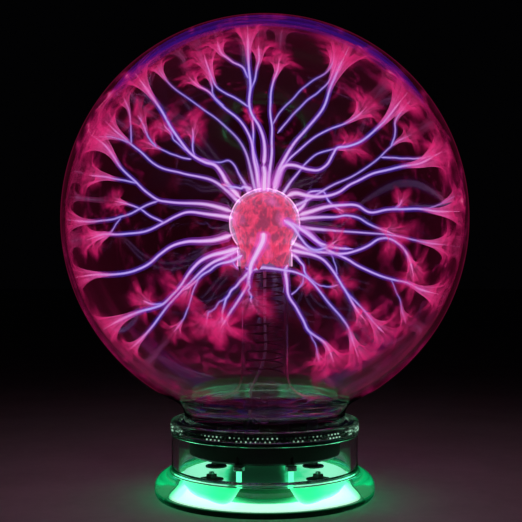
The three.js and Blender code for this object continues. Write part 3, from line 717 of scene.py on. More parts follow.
# The wool's outline falls from its crown to its ragged edge. Above WOOL_JOIN it follows the bulb and
# below it draws in to the skirt. Then every point moves inwards by the depth of its crumple.
wool_turn = np.linspace(0, 2 * np.pi, 220, endpoint=False)
wool_fall = np.linspace(0, 1, 180)[:, None]
wool_r = BULB_R - STEM_WALL - 0.02
wool_low = 115.2 + 1.7 * np.sin(5 * wool_turn + 1) + 1.2 * np.sin(11 * wool_turn)
wool_low = wool_low + 0.8 * np.sin(23 * wool_turn + 2)
WOOL_FALL_END, WOOL_JOIN = 2.34, 0.72
polar = wool_fall * WOOL_FALL_END
ball_r, ball_z = wool_r * np.sin(polar), BULB_Z + wool_r * np.cos(polar)
low_part = np.clip((wool_fall - WOOL_JOIN) / (1 - WOOL_JOIN), 0, 1)
at_join = WOOL_JOIN * WOOL_FALL_END
join_r, join_z = wool_r * math.sin(at_join), BULB_Z + wool_r * math.cos(at_join)
down_r = join_r + (SKIRT_R - STEM_WALL - 0.6 - join_r) * np.sqrt(low_part)
down_z = join_z + (wool_low[None] - join_z) * low_part
upper = wool_fall < WOOL_JOIN
wool_radius = np.where(upper, ball_r, down_r) * np.ones_like(wool_turn)[None]
wool_height = np.where(upper, ball_z, down_z) * np.ones_like(wool_turn)[None]
wool_points = np.stack([wool_radius * np.cos(wool_turn), wool_radius * np.sin(wool_turn), wool_height], -1)
crumple = (
    0.8 * np.abs(waves(wool_points, 9, 24, 5))
    + 0.45 * np.abs(waves(wool_points, 4, 24, 6))
    + 0.25 * np.abs(waves(wool_points, 1.8, 24, 7))
)
centre = np.array([0, 0, BULB_Z])
out = wool_points - centre
out /= np.linalg.norm(out, axis=-1)[..., None]
wool_points = wool_points - out * (crumple * 0.45)[..., None]
# Its underside closes upwards to a tip inside the skirt.
close_ring = wool_points[-1:] * [0.55, 0.55, 1] + [0, 0, 2.5]
close_tip = np.broadcast_to([0, 0, 119.0], close_ring.shape)
wool_all = np.concatenate([wool_points, close_ring, close_tip])
crumple_all = np.concatenate([crumple, crumple[-1:] + 0.8, crumple[-1:] + 1.2])

# Metal wool in the discharge, its light painted on as emission: crimson strands, with painted shade
# darker in the folds, flushed pale pink in places.
lit_wool, tree, wool_shader = material(
    "discharge_lit_metal_wool",
    {"Base Color": linear("#3a0a14"), "Roughness": 0.5, "Emission Strength": 1.15},
)
fold = node(tree, "ShaderNodeAttribute", {"attribute_name": "fold"}).outputs["Fac"]
place = node(tree, "ShaderNodeTexCoord").outputs["Object"]
stretch = node(tree, "ShaderNodeMapping", Vector=place)
stretch.inputs["Scale"].default_value = (1.0, 1.0, 0.35)
strands = {"Scale": 300.0, "Detail": 5.0, "Roughness": 0.6, "Distortion": 1.6}
strand = node(tree, "ShaderNodeTexNoise", strands, Vector=stretch.outputs[0])
bloom = node(tree, "ShaderNodeTexNoise", {"Scale": 85.0, "Detail": 2.0}, Vector=place)
# Painted shade: the glow drops where the crumple is deep.
painted_fold_shade = {"operation": "MULTIPLY_ADD", "i1": -0.16}
mixed = node(tree, "ShaderNodeMath", painted_fold_shade, i0=fold, i2=strand.outputs[0])
crimson_stops = {"stops": [(0.2, "#8c0f3a"), (0.36, "#d3204c"), (0.52, "#ee3060"), (0.7, "#ff6a8c")]}
crimson = node(tree, "ShaderNodeValToRGB", crimson_stops, Fac=mixed.outputs[0])
blooms = {"From Min": 0.5, "From Max": 0.75, "To Max": 0.7}
soft = node(tree, "ShaderNodeMapRange", blooms, Value=bloom.outputs[0])
flushed = node(tree, "ShaderNodeMix", {"data_type": "RGBA"}, i0=soft.outputs[0])
tree.links.new(flushed.inputs[6], crimson.outputs["Color"])
flushed.inputs[7].default_value = linear("#f564b4")
tree.links.new(wool_shader.inputs["Emission Color"], flushed.outputs[2])
lit_wool.cycles.emission_sampling = "NONE"
wool = grid_piece("electrode_wool_crumpled", wool_all * MM, lit_wool, attributes=[("fold", [crumple_all])])
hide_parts("electrode_wool")

# --------------------------------------------------------------------------------------------------
# Feed: a springy steel coil inside the stem and a thin white-insulated lead up its middle, from a black
# rubber boot over the transformer's output.
# --------------------------------------------------------------------------------------------------
COIL_R, COIL_LOW, COIL_HIGH, COIL_TURNS = 9.2, 60.0, 113.8, 12
coil_t = np.linspace(0, 1, COIL_TURNS * 48)
coil_angle = 2 * np.pi * COIL_TURNS * coil_t
coil_z = COIL_LOW + (COIL_HIGH - COIL_LOW) * coil_t
coil_path = np.stack([COIL_R * np.cos(coil_angle), COIL_R * np.sin(coil_angle), coil_z], -1)
# Tarnished spring steel: brownish grey, half matt, so its turns show as faint dark bands.
tarnish = ("#4a343a", "#6a4c50")
tarnished_steel = speckled("tarnished_spring_steel", *tarnish, 0.8, (0.3, 0.45), 0.05, Metallic=0.6)
coil = grid_piece("contact_coil_wire", carried(coil_path * MM, 0.45 * MM, 8), tarnished_steel)
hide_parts("contact_coil")
# Silicone insulation: off-white, matt, the palest thing in the stem.
white_silicone = speckled("white_silicone_lead", "#d8d2d4", "#f4eef0", 1.0, (0.4, 0.55), 0.04)
lead_knots = [(-7.2, 0, 46.6), (-7.2, 0, 50), (-4, 0, 58), (0, 0, 69), (0, 0, 90), (0, 0, 114.2)]
lead_path = smooth_path(lead_knots, 120)
lead = grid_piece("hv_lead_wire", carried(lead_path * MM, 0.8 * MM, 12), white_silicone)
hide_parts("hv_lead")
refined("hv_boot", foot_rubber, 0.3)

# --------------------------------------------------------------------------------------------------
# Discharge: filaments of glowing gas from the bulb to the glass. They leave the bulb, sway and fork, and
# near the glass flare into pink trumpets. This is light in gas, not a solid piece.
# --------------------------------------------------------------------------------------------------
# The place in front of the lamp, in mm, from which the filaments' bearings and reaches are laid out.
EYE = np.array([-1.5, -540.0, 117.2])
electrode = np.array([0, 0, BULB_Z])
film_centre = np.array([0, 0, GLOBE_Z])
# The film's half axes: it lies half a millimetre inside the glass.
film_half = np.array([GLOBE_R - WALL - 0.5, GLOBE_R - WALL - 0.5, GLOBE_R - TOP_WALL - 0.5])
FRONT, BACK, BULB_REACH = -1, 1, 1.6
# Each filament: side, power, trumpet's brim in mm, then knots of bearing and reach. The bearing is in
# degrees, anticlockwise from +X as seen from the front, and the reach in tenths of the globe's radius.
routes = [
    (FRONT, 0.7, 5.5, 7, 1.7, 6, 3.0, 5, 4.1, 3, 4.7, 0, 5.1, -3, 5.8, -5, 6.5),
    (
        FRONT, 0.9, 6.5,
        13, 1.7, 15, 3.0, 13, 4.0, 10.5, 4.7, 6.5, 5.2, 6.5, 6.0, 6, 6.8, 5, 7.8, 4, 8.6, 3.5, 9.6,
    ),
    (BACK, 0.5, 4.0, 6.3, 6.4, 7.5, 6.8, 10, 7.0),
    (BACK, 0.3, 3.5, 5, 8.0, 6, 8.7, 8.3, 9.7),
    (
        FRONT, 0.9, 8.0,
        52, 1.7, 45, 2.15, 34, 2.5, 27, 2.9, 23, 3.6, 22.5, 4.1, 25, 4.8, 25.2, 5.6, 24, 6.5,
        22.3, 7.4, 21.3, 8.3, 22, 9.4,
    ),
    (BACK, 0.5, 5.0, 31, 1.3, 29, 3.0, 28.5, 4.5, 29.5, 5.6, 29.8, 6.6, 31, 7.2, 32, 7.9, 31.5, 8.7),
    (BACK, 0.6, 4.5, 29.8, 6.7, 27, 7.3, 23.8, 8.1, 22.4, 8.8, 22, 9.5),
    (BACK, 0.5, 6.0, 31.5, 7.4, 34.5, 7.9, 38.5, 8.4, 39.8, 9.0, 40.5, 9.7),
    (
        FRONT, 0.9, 8.5,
        75, 1.7, 74, 2.6, 70, 3.1, 62, 3.35, 51, 3.5, 45, 3.7, 43.6, 4.1, 46, 4.7, 46.6, 5.2,
        43, 5.7, 40.6, 6.5, 40.4, 7.5, 41.5, 8.4, 42.5, 9.5,
    ),
    (BACK, 0.6, 6.0, 60, 1.3, 57.5, 2.6, 56.6, 3.5, 53.5, 4.3, 48.5, 5.0, 45, 5.4, 42, 5.9),
    (
        FRONT, 0.9, 9.0,
        76, 1.8, 75, 2.8, 72.5, 3.6, 69.5, 4.3, 66.6, 5.1, 64.3, 5.9, 63.5, 6.8, 64.4, 7.7,
        64.6, 8.6, 64.5, 9.6,
    ),
    (BACK, 0.7, 7.0, 73, 1.3, 70.5, 3.2, 65, 4.1, 60.5, 5.0, 55.5, 5.8, 51.5, 6.5, 49.5, 7.3, 49.3, 7.9),
    (
        BACK, 0.9, 5.5,
        84, 1.3, 84.5, 3.0, 85.5, 4.0, 85.5, 5.0, 87, 5.9, 87.6, 6.6, 86.6, 7.3, 85.2, 7.9, 85, 8.5,
    ),
    (BACK, 0.4, 5.0, 85.4, 5.0, 82, 5.7, 77, 6.6, 71.5, 7.6, 68, 8.4, 67.3, 9.0, 68, 9.6),
    (BACK, 0.5, 5.0, 82, 4.6, 77, 5.4, 72, 6.4, 67.6, 7.3, 66, 7.9, 66.4, 9.2),
    (
        FRONT, 1.2, 6.0,
        91, 2.9, 90, 3.5, 91, 4.2, 93.4, 4.9, 96.3, 5.5, 97, 6.1, 96.2, 6.9, 96, 7.7, 95.4, 8.6,
        95, 9.7,
    ),
    (BACK, 0.9, 3.0, 98, 1.3, 97.3, 2.9, 98.2, 3.8, 97, 4.8, 96.4, 5.6),
    (BACK, 0.8, 5.0, 96.4, 7.4, 98, 8.0, 101.5, 8.45, 104, 8.9, 104.5, 9.7),
    (BACK, 0.7, 6.0, 96.4, 6.7, 94, 7.3, 92.8, 7.9, 92, 8.4, 92, 9.2),
    (BACK, 0.6, 7.5, 97.3, 5.9, 101, 6.3, 106, 6.8, 109, 7.4, 109.8, 8.0, 109.5, 9.2),
    (
        BACK, 0.9, 4.0,
        100, 1.3, 99, 3.0, 99.2, 4.1, 101.4, 4.9, 104.6, 5.5, 108.2, 6.1, 111, 6.7, 112.8, 7.3,
        115.5, 7.8, 117, 8.4,
    ),
    (BACK, 0.5, 4.0, 109, 6.3, 111.5, 7.0, 110.6, 7.6, 110, 8.3),
    (
        BACK, 0.4, 4.0,
        106, 1.3, 105, 2.8, 105.6, 3.7, 108.5, 4.7, 113, 5.6, 118, 6.5, 121.5, 7.4, 123.6, 8.3,
        124.2, 9.2, 124, 9.8,
    ),
    (
        FRONT, 1.3, 6.0,
        134, 1.75, 133, 2.7, 130.3, 3.4, 130.4, 3.9, 134, 4.3, 136.6, 5.0, 135.6, 5.8, 134.2, 6.7,
        132.4, 7.6, 131.4, 8.6, 130.8, 9.7,
    ),
    (BACK, 0.6, 6.0, 136.5, 4.8, 133, 5.3, 129, 5.7, 126.5, 6.1),
    (BACK, 0.5, 5.0, 136.4, 5.3, 137.2, 5.8, 136, 6.5, 135, 7.2),
    (BACK, 0.5, 0.0, 118, 1.7, 116.6, 2.4, 117.3, 3.1, 120.5, 3.6, 126, 3.9, 131, 4.2, 135, 4.7),
    (FRONT, 0.8, 0.0, 112, 1.85, 118, 2.05, 126, 2.2, 133, 2.5, 138, 2.9),
    (
        BACK, 0.7, 7.0,
        142, 1.3, 139.5, 3.1, 144, 4.0, 148.5, 4.9, 151.4, 5.7, 151.3, 6.5, 149.6, 7.3, 148.6, 8.1,
        148, 8.8, 147, 9.6,
    ),
    (BACK, 0.4, 4.0, 148.8, 7.8, 144, 8.3, 140, 8.9, 138, 9.6),
    (BACK, 0.4, 5.0, 149, 7.9, 150, 8.7, 152.5, 9.6),
    (BACK, 0.5, 5.0, 138.5, 4.9, 141.6, 5.4, 143.6, 6.2, 144.6, 6.7, 144.8, 7.2),
    (FRONT, 0.4, 5.0, 144.6, 6.6, 143.4, 7.2, 141, 7.7, 139.6, 8.2),
    (
        FRONT, 0.8, 8.0,
        160, 1.7, 162, 2.9, 164.5, 3.9, 167.2, 4.9, 167.8, 5.5, 165.5, 6.2, 162, 6.8, 158.5, 7.6,
        155.5, 8.3, 153.8, 8.9, 153, 9.6,
    ),
    (BACK, 0.6, 7.0, 162.4, 6.7, 163, 7.5, 163.5, 8.2, 164.5, 9.2),
    (FRONT, 0.6, 5.0, 168, 5.4, 171.4, 6.0, 175, 6.5, 177.6, 7.2, 179, 8.0, 179.5, 8.8, 179, 9.7),
    (
        BACK, 0.9, 6.0,
        171, 1.3, 170.5, 3.2, 172.5, 3.9, 176.5, 4.5, 180, 5.0, 182.6, 5.7, 184.2, 6.5, 184.6, 7.4,
        184.2, 8.1, 185.5, 9.0,
    ),
    (BACK, 0.7, 4.0, 180, 5.0, 177.4, 5.5, 174.4, 6.1, 172, 6.8, 171.6, 7.6),
    (BACK, 0.4, 4.5, 177.8, 7.2, 181, 7.5, 184, 7.8, 186, 8.5),
    (
        FRONT, 1.0, 6.0,
        200, 1.7, 199, 2.6, 196, 3.3, 193.6, 4.0, 194, 4.8, 196.6, 5.4, 199.4, 6.0, 200.2, 6.7,
        200, 7.3, 198.6, 8.1, 197, 8.8, 196, 9.7,
    ),
    (
        FRONT, 1.1, 7.5,
        224, 1.8, 217, 2.4, 211.8, 3.1, 211, 3.8, 213, 4.4, 216.6, 5.1, 218, 5.8, 218.8, 6.5,
        217.4, 7.1, 215.4, 7.7, 214, 8.5, 213.4, 9.5,
    ),
    (BACK, 0.7, 6.0, 218.6, 6.6, 216.4, 7.0, 213, 7.3),
    (
        BACK, 0.9, 4.5,
        229, 1.5, 221, 2.6, 217.6, 3.2, 217.6, 3.9, 218.8, 4.8, 220, 5.6, 220.7, 6.3, 222, 7.0,
        223, 7.8, 223.6, 8.6, 223.5, 9.4,
    ),
    (FRONT, 0.8, 5.0, 235, 2.0, 228, 2.6, 222, 3.1, 220, 3.8, 220.4, 4.5, 219.4, 5.3),
    (BACK, 0.4, 4.5, 221, 4.4, 224.6, 5.1, 228.2, 5.7, 230.2, 6.4, 230.8, 7.2),
    (FRONT, 1.1, 5.5, 253, 2.6, 254.4, 3.1, 252.2, 3.8, 250, 4.4, 248.2, 5.0, 247.2, 5.6),
    (FRONT, 0.8, 4.0, 252, 2.6, 246.5, 3.3, 243.6, 3.9, 243.2, 4.4, 244.8, 4.9, 247, 5.4),
    (BACK, 0.6, 7.0, 250, 2.6, 243, 2.65, 236, 2.65, 230, 2.5, 224, 2.3),
    (FRONT, 0.3, 6.0, 243, 4.1, 239.6, 4.8, 238.2, 5.3, 240, 5.8),
    (FRONT, 0.5, 5.5, 254.6, 3.0, 257, 3.4, 260.6, 4.0),
    (
        FRONT, 0.7, 6.0,
        255, 2.5, 266, 2.25, 276, 2.27, 286, 2.4, 294, 2.6, 301, 2.85, 306.4, 3.3, 308.4, 3.9,
        308.6, 5.0, 309, 6.0, 308.4, 6.7, 306.6, 7.3, 305, 8.0,
    ),
    (
        FRONT, 0.9, 6.0,
        298, 2.4, 293, 2.6, 290.6, 3.1, 289.4, 3.8, 289.4, 4.4, 290.2, 5.1, 291.8, 5.6, 294.6, 6.1,
        296.6, 6.7, 296.4, 7.6,
    ),
    (BACK, 0.3, 4.0, 291.5, 5.6, 292.2, 6.2, 292, 7.0, 291, 7.7),
    (BACK, 0.4, 4.0, 290, 3.9, 295, 3.8, 302, 3.6, 306.5, 3.3),
    (BACK, 0.9, 4.0, 309, 2.0, 313, 2.35, 311.6, 2.8, 308.8, 3.3, 308.6, 3.9),
    (BACK, 0.4, 5.0, 308.8, 3.7, 311, 4.2, 315, 4.6, 320, 4.9),
    (
        FRONT, 0.9, 5.0,
        314, 1.9, 321, 2.3, 326, 2.8, 327, 3.4, 325.6, 4.0, 323, 4.6, 320.4, 5.1, 318, 5.7,
        316.6, 6.3, 316, 6.9,
    ),
    (FRONT, 0.6, 6.5, 319.4, 5.4, 319, 6.0, 318.4, 6.7, 317.6, 7.3, 317.4, 8.0),
    (BACK, 0.3, 0.0, 324, 4.5, 328, 4.2, 332, 3.9, 336, 3.5),
    (
        BACK, 0.9, 7.5,
        322, 1.5, 329, 2.7, 334, 3.3, 336.2, 3.9, 336, 4.5, 335, 5.1, 335, 5.8, 335.5, 6.5,
        336.2, 7.1, 337, 7.7, 336.6, 8.5, 337.5, 9.5,
    ),
    (BACK, 0.25, 5.0, 335.8, 6.9, 332, 7.5, 328, 8.1, 324, 8.8),
    (
        FRONT, 0.9, 6.0,
        352, 1.7, 347, 2.2, 342, 2.7, 338.4, 3.3, 337.2, 3.8, 339, 4.3, 343, 4.8, 348, 5.3,
        352.6, 5.8, 353.6, 6.2, 351.6, 6.7, 348.4, 7.1, 344, 7.5, 340.5, 7.8,
    ),
    (
        BACK, 0.6, 6.5,
        353, 1.5, 353.4, 3.2, 354.4, 4.6, 354.6, 5.8, 354.2, 6.7, 353.4, 7.6, 353, 8.3, 353, 9.3,
    ),
    (FRONT, 0.8, 3.0, 8, 1.0, 350, 1.5, 336, 2.0, 331, 2.6, 337, 3.2, 347, 3.7),
    (BACK, 0.8, 4.0, 20, 1.7, 27, 2.3, 34, 2.75, 31, 3.3, 17, 3.45, 8, 4.0),
]


def sight(bearing, reach):
    """Point beside the electrode, in the plane y = 0, on the line of sight of that bearing and reach."""
    angle = np.radians(bearing)
    across = GLOBE_R * np.asarray(reach) / 10
    return electrode + np.stack([across * np.cos(angle), np.zeros_like(across), across * np.sin(angle)], -1)


def on_film(through, side):
    """Where the line from the eye through a point meets the film: the quadratic's nearer or farther root."""
    o, d = (EYE - film_centre) / film_half, (through - EYE) / film_half
    half_b = np.sum(o * d, -1)
    square = np.sum(d * d, -1)
    root = np.sqrt(np.clip(half_b**2 - square * (np.sum(o * o) - 1), 0, None))
    return EYE + (through - EYE) * ((-half_b + side * root) / square)[..., None]


def follow(side, knots, seed):
    """A filament's path. A smooth curve runs through its knots in the plane y = 0, and each point is then
    slid along its line of sight: at the start to the bulb's surface, or for a branch to the depth its
    parent has there, at the end to the film. A small sway is added that is nil at both ends."""
    bearing, reach = np.array(knots[0::2], float), np.array(knots[1::2], float)
    flat = smooth_path(sight(bearing, reach), 90)
    s = np.linspace(0, 1, 90)
    goal = on_film(flat[-1], side)
    off_axis = np.linalg.norm(flat[0] - electrode)
    start = side * math.sqrt(max(BULB_R**2 - off_axis**2, 16)) if reach[0] < 2.0 else None
    if start is None:
        gone = np.clip((reach[0] - BULB_REACH) / (reach[-1] - BULB_REACH), 0.0, 0.9)
        start = goal[1] * gone**1.1
    depth = start + (goal[1] - start) * s**1.1
    path = EYE + (flat - EYE) * ((depth - EYE[1]) / -EYE[1])[:, None]
    pick = np.random.default_rng(seed)
    envelope = np.sin(np.pi * s)
    swing = min(np.linalg.norm(path[-1] - path[0]) / 60, 1)
    for size, beats in ((0.45, 2.2), (0.12, 5.0)):
        push = pick.normal(size=3) * size * swing
        path = path + push * (envelope * np.sin(2 * np.pi * (beats * s + pick.uniform())))[:, None]
    return path


paths, powers, alongs, feet = [], [], [], []
for number, (side, power, brim, *knots) in enumerate(routes):
    path = follow(side, knots, 100 + number)
    paths.append(path)
    powers.append(power)
    begin = np.clip((knots[1] - 1.7) / 8, 0, 1)
    alongs.append(np.linspace(begin, 1, len(path)))
    if brim:
        feet.append((path, brim, power))

# The bright filament that leaves the front of the bulb and drops past the skirt.
front_knots = [
    (-0.6, -17.5, 130.5),
    (-0.9, -19.5, 127),
    (-3.4, -21.5, 121.5),
    (-6.6, -22.5, 115),
    (-7.2, -25, 109.5),
]
paths.append(smooth_path(front_knots, 60))
powers.append(2.0)
alongs.append(np.linspace(0, 0.2, 60))
# A thin one from the right of the bulb's face, and the short one that points at the eye above the bulb.
side_knots = [
    (9.5, -14.6, 136.5),
    (14, -19, 134.5),
    (19, -24, 131),
    (25, -30, 126),
    (32, -37, 123.4),
    (40, -46, 122.6),
]
paths.append(smooth_path(side_knots, 60))
powers.append(1.1)
alongs.append(np.linspace(0.1, 0.5, 60))
stub_knots = [(-0.3, -6, 152.4), (-0.2, -12, 156), (0.0, -20, 159), (-0.3, -26, 160.5), (-0.6, -34, 161.5)]
paths.append(smooth_path(stub_knots, 40))
powers.append(1.8)
alongs.append(np.linspace(0, 0.2, 40))


def thickness(along, power, root_mm, mid_mm):
    """Radius along a filament: widest at the bulb, soon narrow, and drawn to a point at the glass."""
    taper = mid_mm + (root_mm - mid_mm) * np.clip(1 - along / 0.45, 0, 1) ** 1.6
    s = np.linspace(0, 1, len(along))
    ends_closed = np.clip((1 - s) / 0.1, 0.25, 1) * np.clip(s / 0.03, 0.4, 1)
    return taper * ends_closed * (0.75 + 0.25 * power)


def see_through_glow(name, colour_of, alpha_of):
    """Emission laid over transparency. colour_of and alpha_of take the node tree and return a socket."""
    made = bpy.data.materials.new(name)
    made.use_nodes = True
    tree = made.node_tree
    tree.nodes.clear()
    light = node(tree, "ShaderNodeEmission", Color=colour_of(tree))
    clear = node(tree, "ShaderNodeBsdfTransparent")
    both = node(tree, "ShaderNodeMixShader", i0=alpha_of(tree), i1=clear.outputs[0], i2=light.outputs[0])
    node(tree, "ShaderNodeOutputMaterial", Surface=both.outputs[0])
    made.cycles.emission_sampling = "NONE"
    return made


def layer(name, root_mm, mid_mm, sides, dim, bright, alpha):
    """All filaments in one mesh, as one nested layer of the glow. Its colour follows the attribute t from
    bulb to glass, between a dim and a bright range of stops by the attribute power."""

    def colour_of(tree):
        along = node(tree, "ShaderNodeAttribute", {"attribute_name": "t"}).outputs["Fac"]
        power = node(tree, "ShaderNodeAttribute", {"attribute_name": "power"}).outputs["Fac"]
        weak = node(tree, "ShaderNodeValToRGB", {"stops": dim}, Fac=along)
        strong = node(tree, "ShaderNodeValToRGB", {"stops": bright}, Fac=along)
        ends = {"i6": weak.outputs["Color"], "i7": strong.outputs["Color"]}
        return node(tree, "ShaderNodeMix", {"data_type": "RGBA"}, i0=power, **ends).outputs[2]

    def alpha_of(tree):
        power = node(tree, "ShaderNodeAttribute", {"attribute_name": "power"}).outputs["Fac"]
        scaled = {"From Min": 0.2, "From Max": 1.0, "To Min": alpha * 0.35, "To Max": alpha}
        return node(tree, "ShaderNodeMapRange", scaled, Value=power).outputs[0]

    tubes = [
        carried(path * MM, thickness(t, power, root_mm, mid_mm) * MM, sides)
        for path, t, power in zip(paths, alongs, powers)
    ]
    labels = [np.repeat(np.concatenate([t[:1], t, t[-1:]])[:, None], sides, 1) for t in alongs]
    levels = [np.full(label.shape, w) for label, w in zip(labels, powers)]
    finish = see_through_glow(name + "_gas", colour_of, alpha_of)
    piece = grid_piece(name, tubes, finish, attributes=[("t", labels), ("power", levels)], weld=False)
    piece.visible_shadow = False
    return piece


# Core: the gas at its hottest, a thin white-violet line that turns pink at the glass.
layer(
    "filament_core", 0.8, 0.36, 6,
    [(0.0, "#dca6f8"), (0.35, "#ab90f0"), (0.8, "#9484ea"), (1.0, "#e070c0")],
    [(0.0, "#ffeaff"), (0.3, "#f6d6ff"), (0.7, "#dcccff"), (0.92, "#ffb0e6"), (1.0, "#ff78ba")], 0.92,
)
# Sheath: a see-through violet halo twice as wide, magenta at the bulb and crimson pink at the glass.
layer(
    "filament_sheath", 1.5, 0.7, 8,
    [(0.0, "#b070e0"), (0.35, "#7a54d8"), (0.8, "#6448cc"), (1.0, "#c0409a")],
    [(0.0, "#ff9cf4"), (0.3, "#cf86ff"), (0.75, "#9c7cff"), (0.92, "#f868c8"), (1.0, "#ff4f9a")], 0.36,
)
# Haze: the faint outer glow, deep blue-violet and almost clear.
layer(
    "filament_haze", 2.9, 1.55, 8,
    [(0.0, "#8038b8"), (0.35, "#4026a0"), (0.8, "#302090"), (1.0, "#80206a")],
    [(0.0, "#e858d8"), (0.3, "#8a3ad8"), (0.75, "#5030c8"), (0.92, "#b8308e"), (1.0, "#e03880")], 0.15,
)


def trumpet(path, brim, seed, rows=20, skirt_rows=10, sides=36):
    """Flare at a filament's end. Rings parallel to the glass follow the path's last part. Their radius is
    brim times exp(-distance left / (0.3 length)), with a star of ridges that deepens outwards, and past
    the end a skirt lies on the film."""
    pick = np.random.default_rng(seed)
    end = path[-1]
    normal = (end - film_centre) / film_half**2
    normal /= np.linalg.norm(normal)
    first = np.cross(normal, [0.3, 0.2, 1.0])
    first /= np.linalg.norm(first)
    second = np.cross(normal, first)
    back = np.concatenate([[0], np.cumsum(np.linalg.norm(np.diff(path[::-1], axis=0), axis=1))])
    length = min(brim * 2.8, back[-1] * 0.8)
    left = length * (1 - np.linspace(0, 1, rows) ** 0.8)
    spine = np.stack([np.interp(left, back, path[::-1, k]) for k in range(3)], -1)
    turn = np.linspace(0, 2 * np.pi, sides, endpoint=False)
    points = pick.integers(3, 6)
    star = 0.45 * np.cos(points * turn + pick.uniform(0, 6))
    star = star + 0.3 * np.cos((points + 2) * turn + pick.uniform(0, 6))
    star += 0.2 * np.cos((2 * points + 3) * turn + pick.uniform(0, 6))
    opening = np.exp(-left / (length * 0.3))
    radius = 0.7 + brim * opening
    rings = radius[:, None] * (1 + 0.55 * opening[:, None] * star)
    spread = (1 + 0.9 * np.linspace(0, 1, skirt_rows + 1)[1:])[:, None] * (brim + 0.7) * (1 + 0.55 * star)
    rings = np.concatenate([rings, spread])
    spine = np.concatenate([spine, np.repeat(end[None], skirt_rows, 0)])
    ring = np.cos(turn)[None, :, None] * first + np.sin(turn)[None, :, None] * second
    shape = spine[:, None] + ring * rings[:, :, None]
    level = np.linalg.norm((shape - film_centre) / film_half, axis=-1, keepdims=True)
    pressed = film_centre + (shape - film_centre) / level
    hold = np.concatenate([opening**3, np.ones(skirt_rows)])[:, None, None]
    shape = np.where(level > 1, pressed, shape * (1 - hold) + pressed * hold)
    beat = np.cos(points * turn + pick.uniform(0, 6)) * np.cos((points + 4) * turn + pick.uniform(0, 6))
    rays = 0.35 + 0.65 * (0.5 + 0.5 * beat)
    body = np.clip((1 - left / length) / 0.35, 0, 1)
    fade = np.linspace(1, 0, skirt_rows + 1)[1:] ** 1.4
    alpha = np.concatenate([body, fade])[:, None] * rays
    heat = np.concatenate([1 - 0.65 * opening, 0.35 * fade])[:, None] * (0.8 + 0.4 * rays)
    return shape, alpha, heat


shapes, alphas, heats = [], [], []
for number, (path, brim, power) in enumerate(feet):
    shape, alpha, heat = trumpet(path, brim, 700 + number)
    shapes.append(shape * MM)
    alphas.append(alpha * (0.5 + 0.36 * min(power, 1)))
    heats.append(heat)


def trumpet_colour(tree):
    """Crimson at the outer skirt, hot pink towards the filament."""
    heat = node(tree, "ShaderNodeAttribute", {"attribute_name": "warmth"}).outputs["Fac"]
    stops = {"stops": [(0.0, "#b4125a"), (0.35, "#ee2474"), (0.7, "#ff3a8c"), (1.0, "#ff62b8")]}
    return node(tree, "ShaderNodeValToRGB", stops, Fac=heat).outputs["Color"]


def trumpet_alpha(tree):
    """The flare's own fullness, torn by fine noise."""
    density = node(tree, "ShaderNodeAttribute", {"attribute_name": "fullness"}).outputs["Fac"]
    place = node(tree, "ShaderNodeTexCoord").outputs["Object"]
    shreds = {"Scale": 160.0, "Detail": 3.0, "Distortion": 1.0}
    shred = node(tree, "ShaderNodeTexNoise", shreds, Vector=place)
    tears = {"From Min": 0.35, "From Max": 0.65, "To Min": 0.35, "To Max": 0.95}
    torn = node(tree, "ShaderNodeMapRange", tears, Value=shred.outputs[0])
    return node(tree, "ShaderNodeMath", {"operation": "MULTIPLY"}, i0=density, i1=torn.outputs[0]).outputs[0]


# Gas at the flares: hot pink, torn into shreds and see-through.
hot_gas = see_through_glow("hot_pink_gas", trumpet_colour, trumpet_alpha)
trumpet_values = [("fullness", alphas), ("warmth", heats)]
trumpets = grid_piece("filament_trumpets", shapes, hot_gas, attributes=trumpet_values, weld=False)
trumpets.visible_shadow = False

# --------------------------------------------------------------------------------------------------
# Glow on the glass: the gas spreads over the inside of the globe in thin pink wisps with dark gaps, and
# an even dull haze lies low down. One billowing film just inside the glass carries it, and thin even
# volumes at the glass draw the bright outlines of globe and bulb; the one on the globe's outer skin is
# painted light caught in the glass.
# --------------------------------------------------------------------------------------------------
ROWS, COLUMNS = 210, 440
fall = np.linspace(0, 2.62, ROWS)[:, None]
around = np.linspace(0, 2 * np.pi, COLUMNS, endpoint=False)
film_unit = np.stack(
    [np.sin(fall) * np.cos(around), np.sin(fall) * np.sin(around), np.cos(fall) * np.ones_like(around)], -1
)
flat_film = film_unit * (GLOBE_R - 0.15)
warp = np.stack([waves(flat_film, 46, 20, 60 + k) for k in range(3)], -1) * 8
warped = flat_film + warp
ridges = np.clip(1 - np.abs(waves(warped, 36, 30, 71)) * 1.1, 0, 1)
fine_ridges = np.clip(1 - np.abs(waves(warped + warp, 14, 30, 72)), 0, 1)
cloud = waves(flat_film, 55, 20, 73)
patches = np.clip(0.35 + 0.6 * cloud, 0, 1)
wisps = ridges**3 * (0.3 + 0.7 * fine_ridges**1.5) * patches
# Every filament lights the film round its foot. Low down an even haze takes over from the wisps.
foot_glow = np.zeros(film_unit.shape[:2])
for path, brim, power in feet:
    toward = (path[-1] - film_centre) / film_half
    away = np.linalg.norm(film_unit - toward / np.linalg.norm(toward), axis=-1) * GLOBE_R
    spot = np.exp(-((away / (brim * 2.4)) ** 2))
    foot_glow += spot * (0.2 + 0.8 * ridges**1.5) * 0.5 * min(power + 0.3, 1)
height = film_unit[..., 2]
low_haze = np.clip((-0.2 - height) / 0.6, 0, 1) * np.clip(0.13 + 0.1 * cloud + 0.12 * ridges, 0, 1)
side_haze = 0.04 * np.clip(1 - np.abs(height) / 0.7, 0, 1) * np.clip(0.6 + 0.6 * cloud, 0, 1)
calm = 1 - 0.35 * np.clip((-0.1 - height) / 0.3, 0, 1)
glow = np.clip((0.6 * wisps + 0.9 * foot_glow) * calm + 0.75 * low_haze + side_haze, 0, 1.1)
billow = 1 - 0.010 * np.clip(0.5 + 0.5 * waves(flat_film, 17, 30, 74), 0, 1) * np.clip(glow * 3, 0, 1)


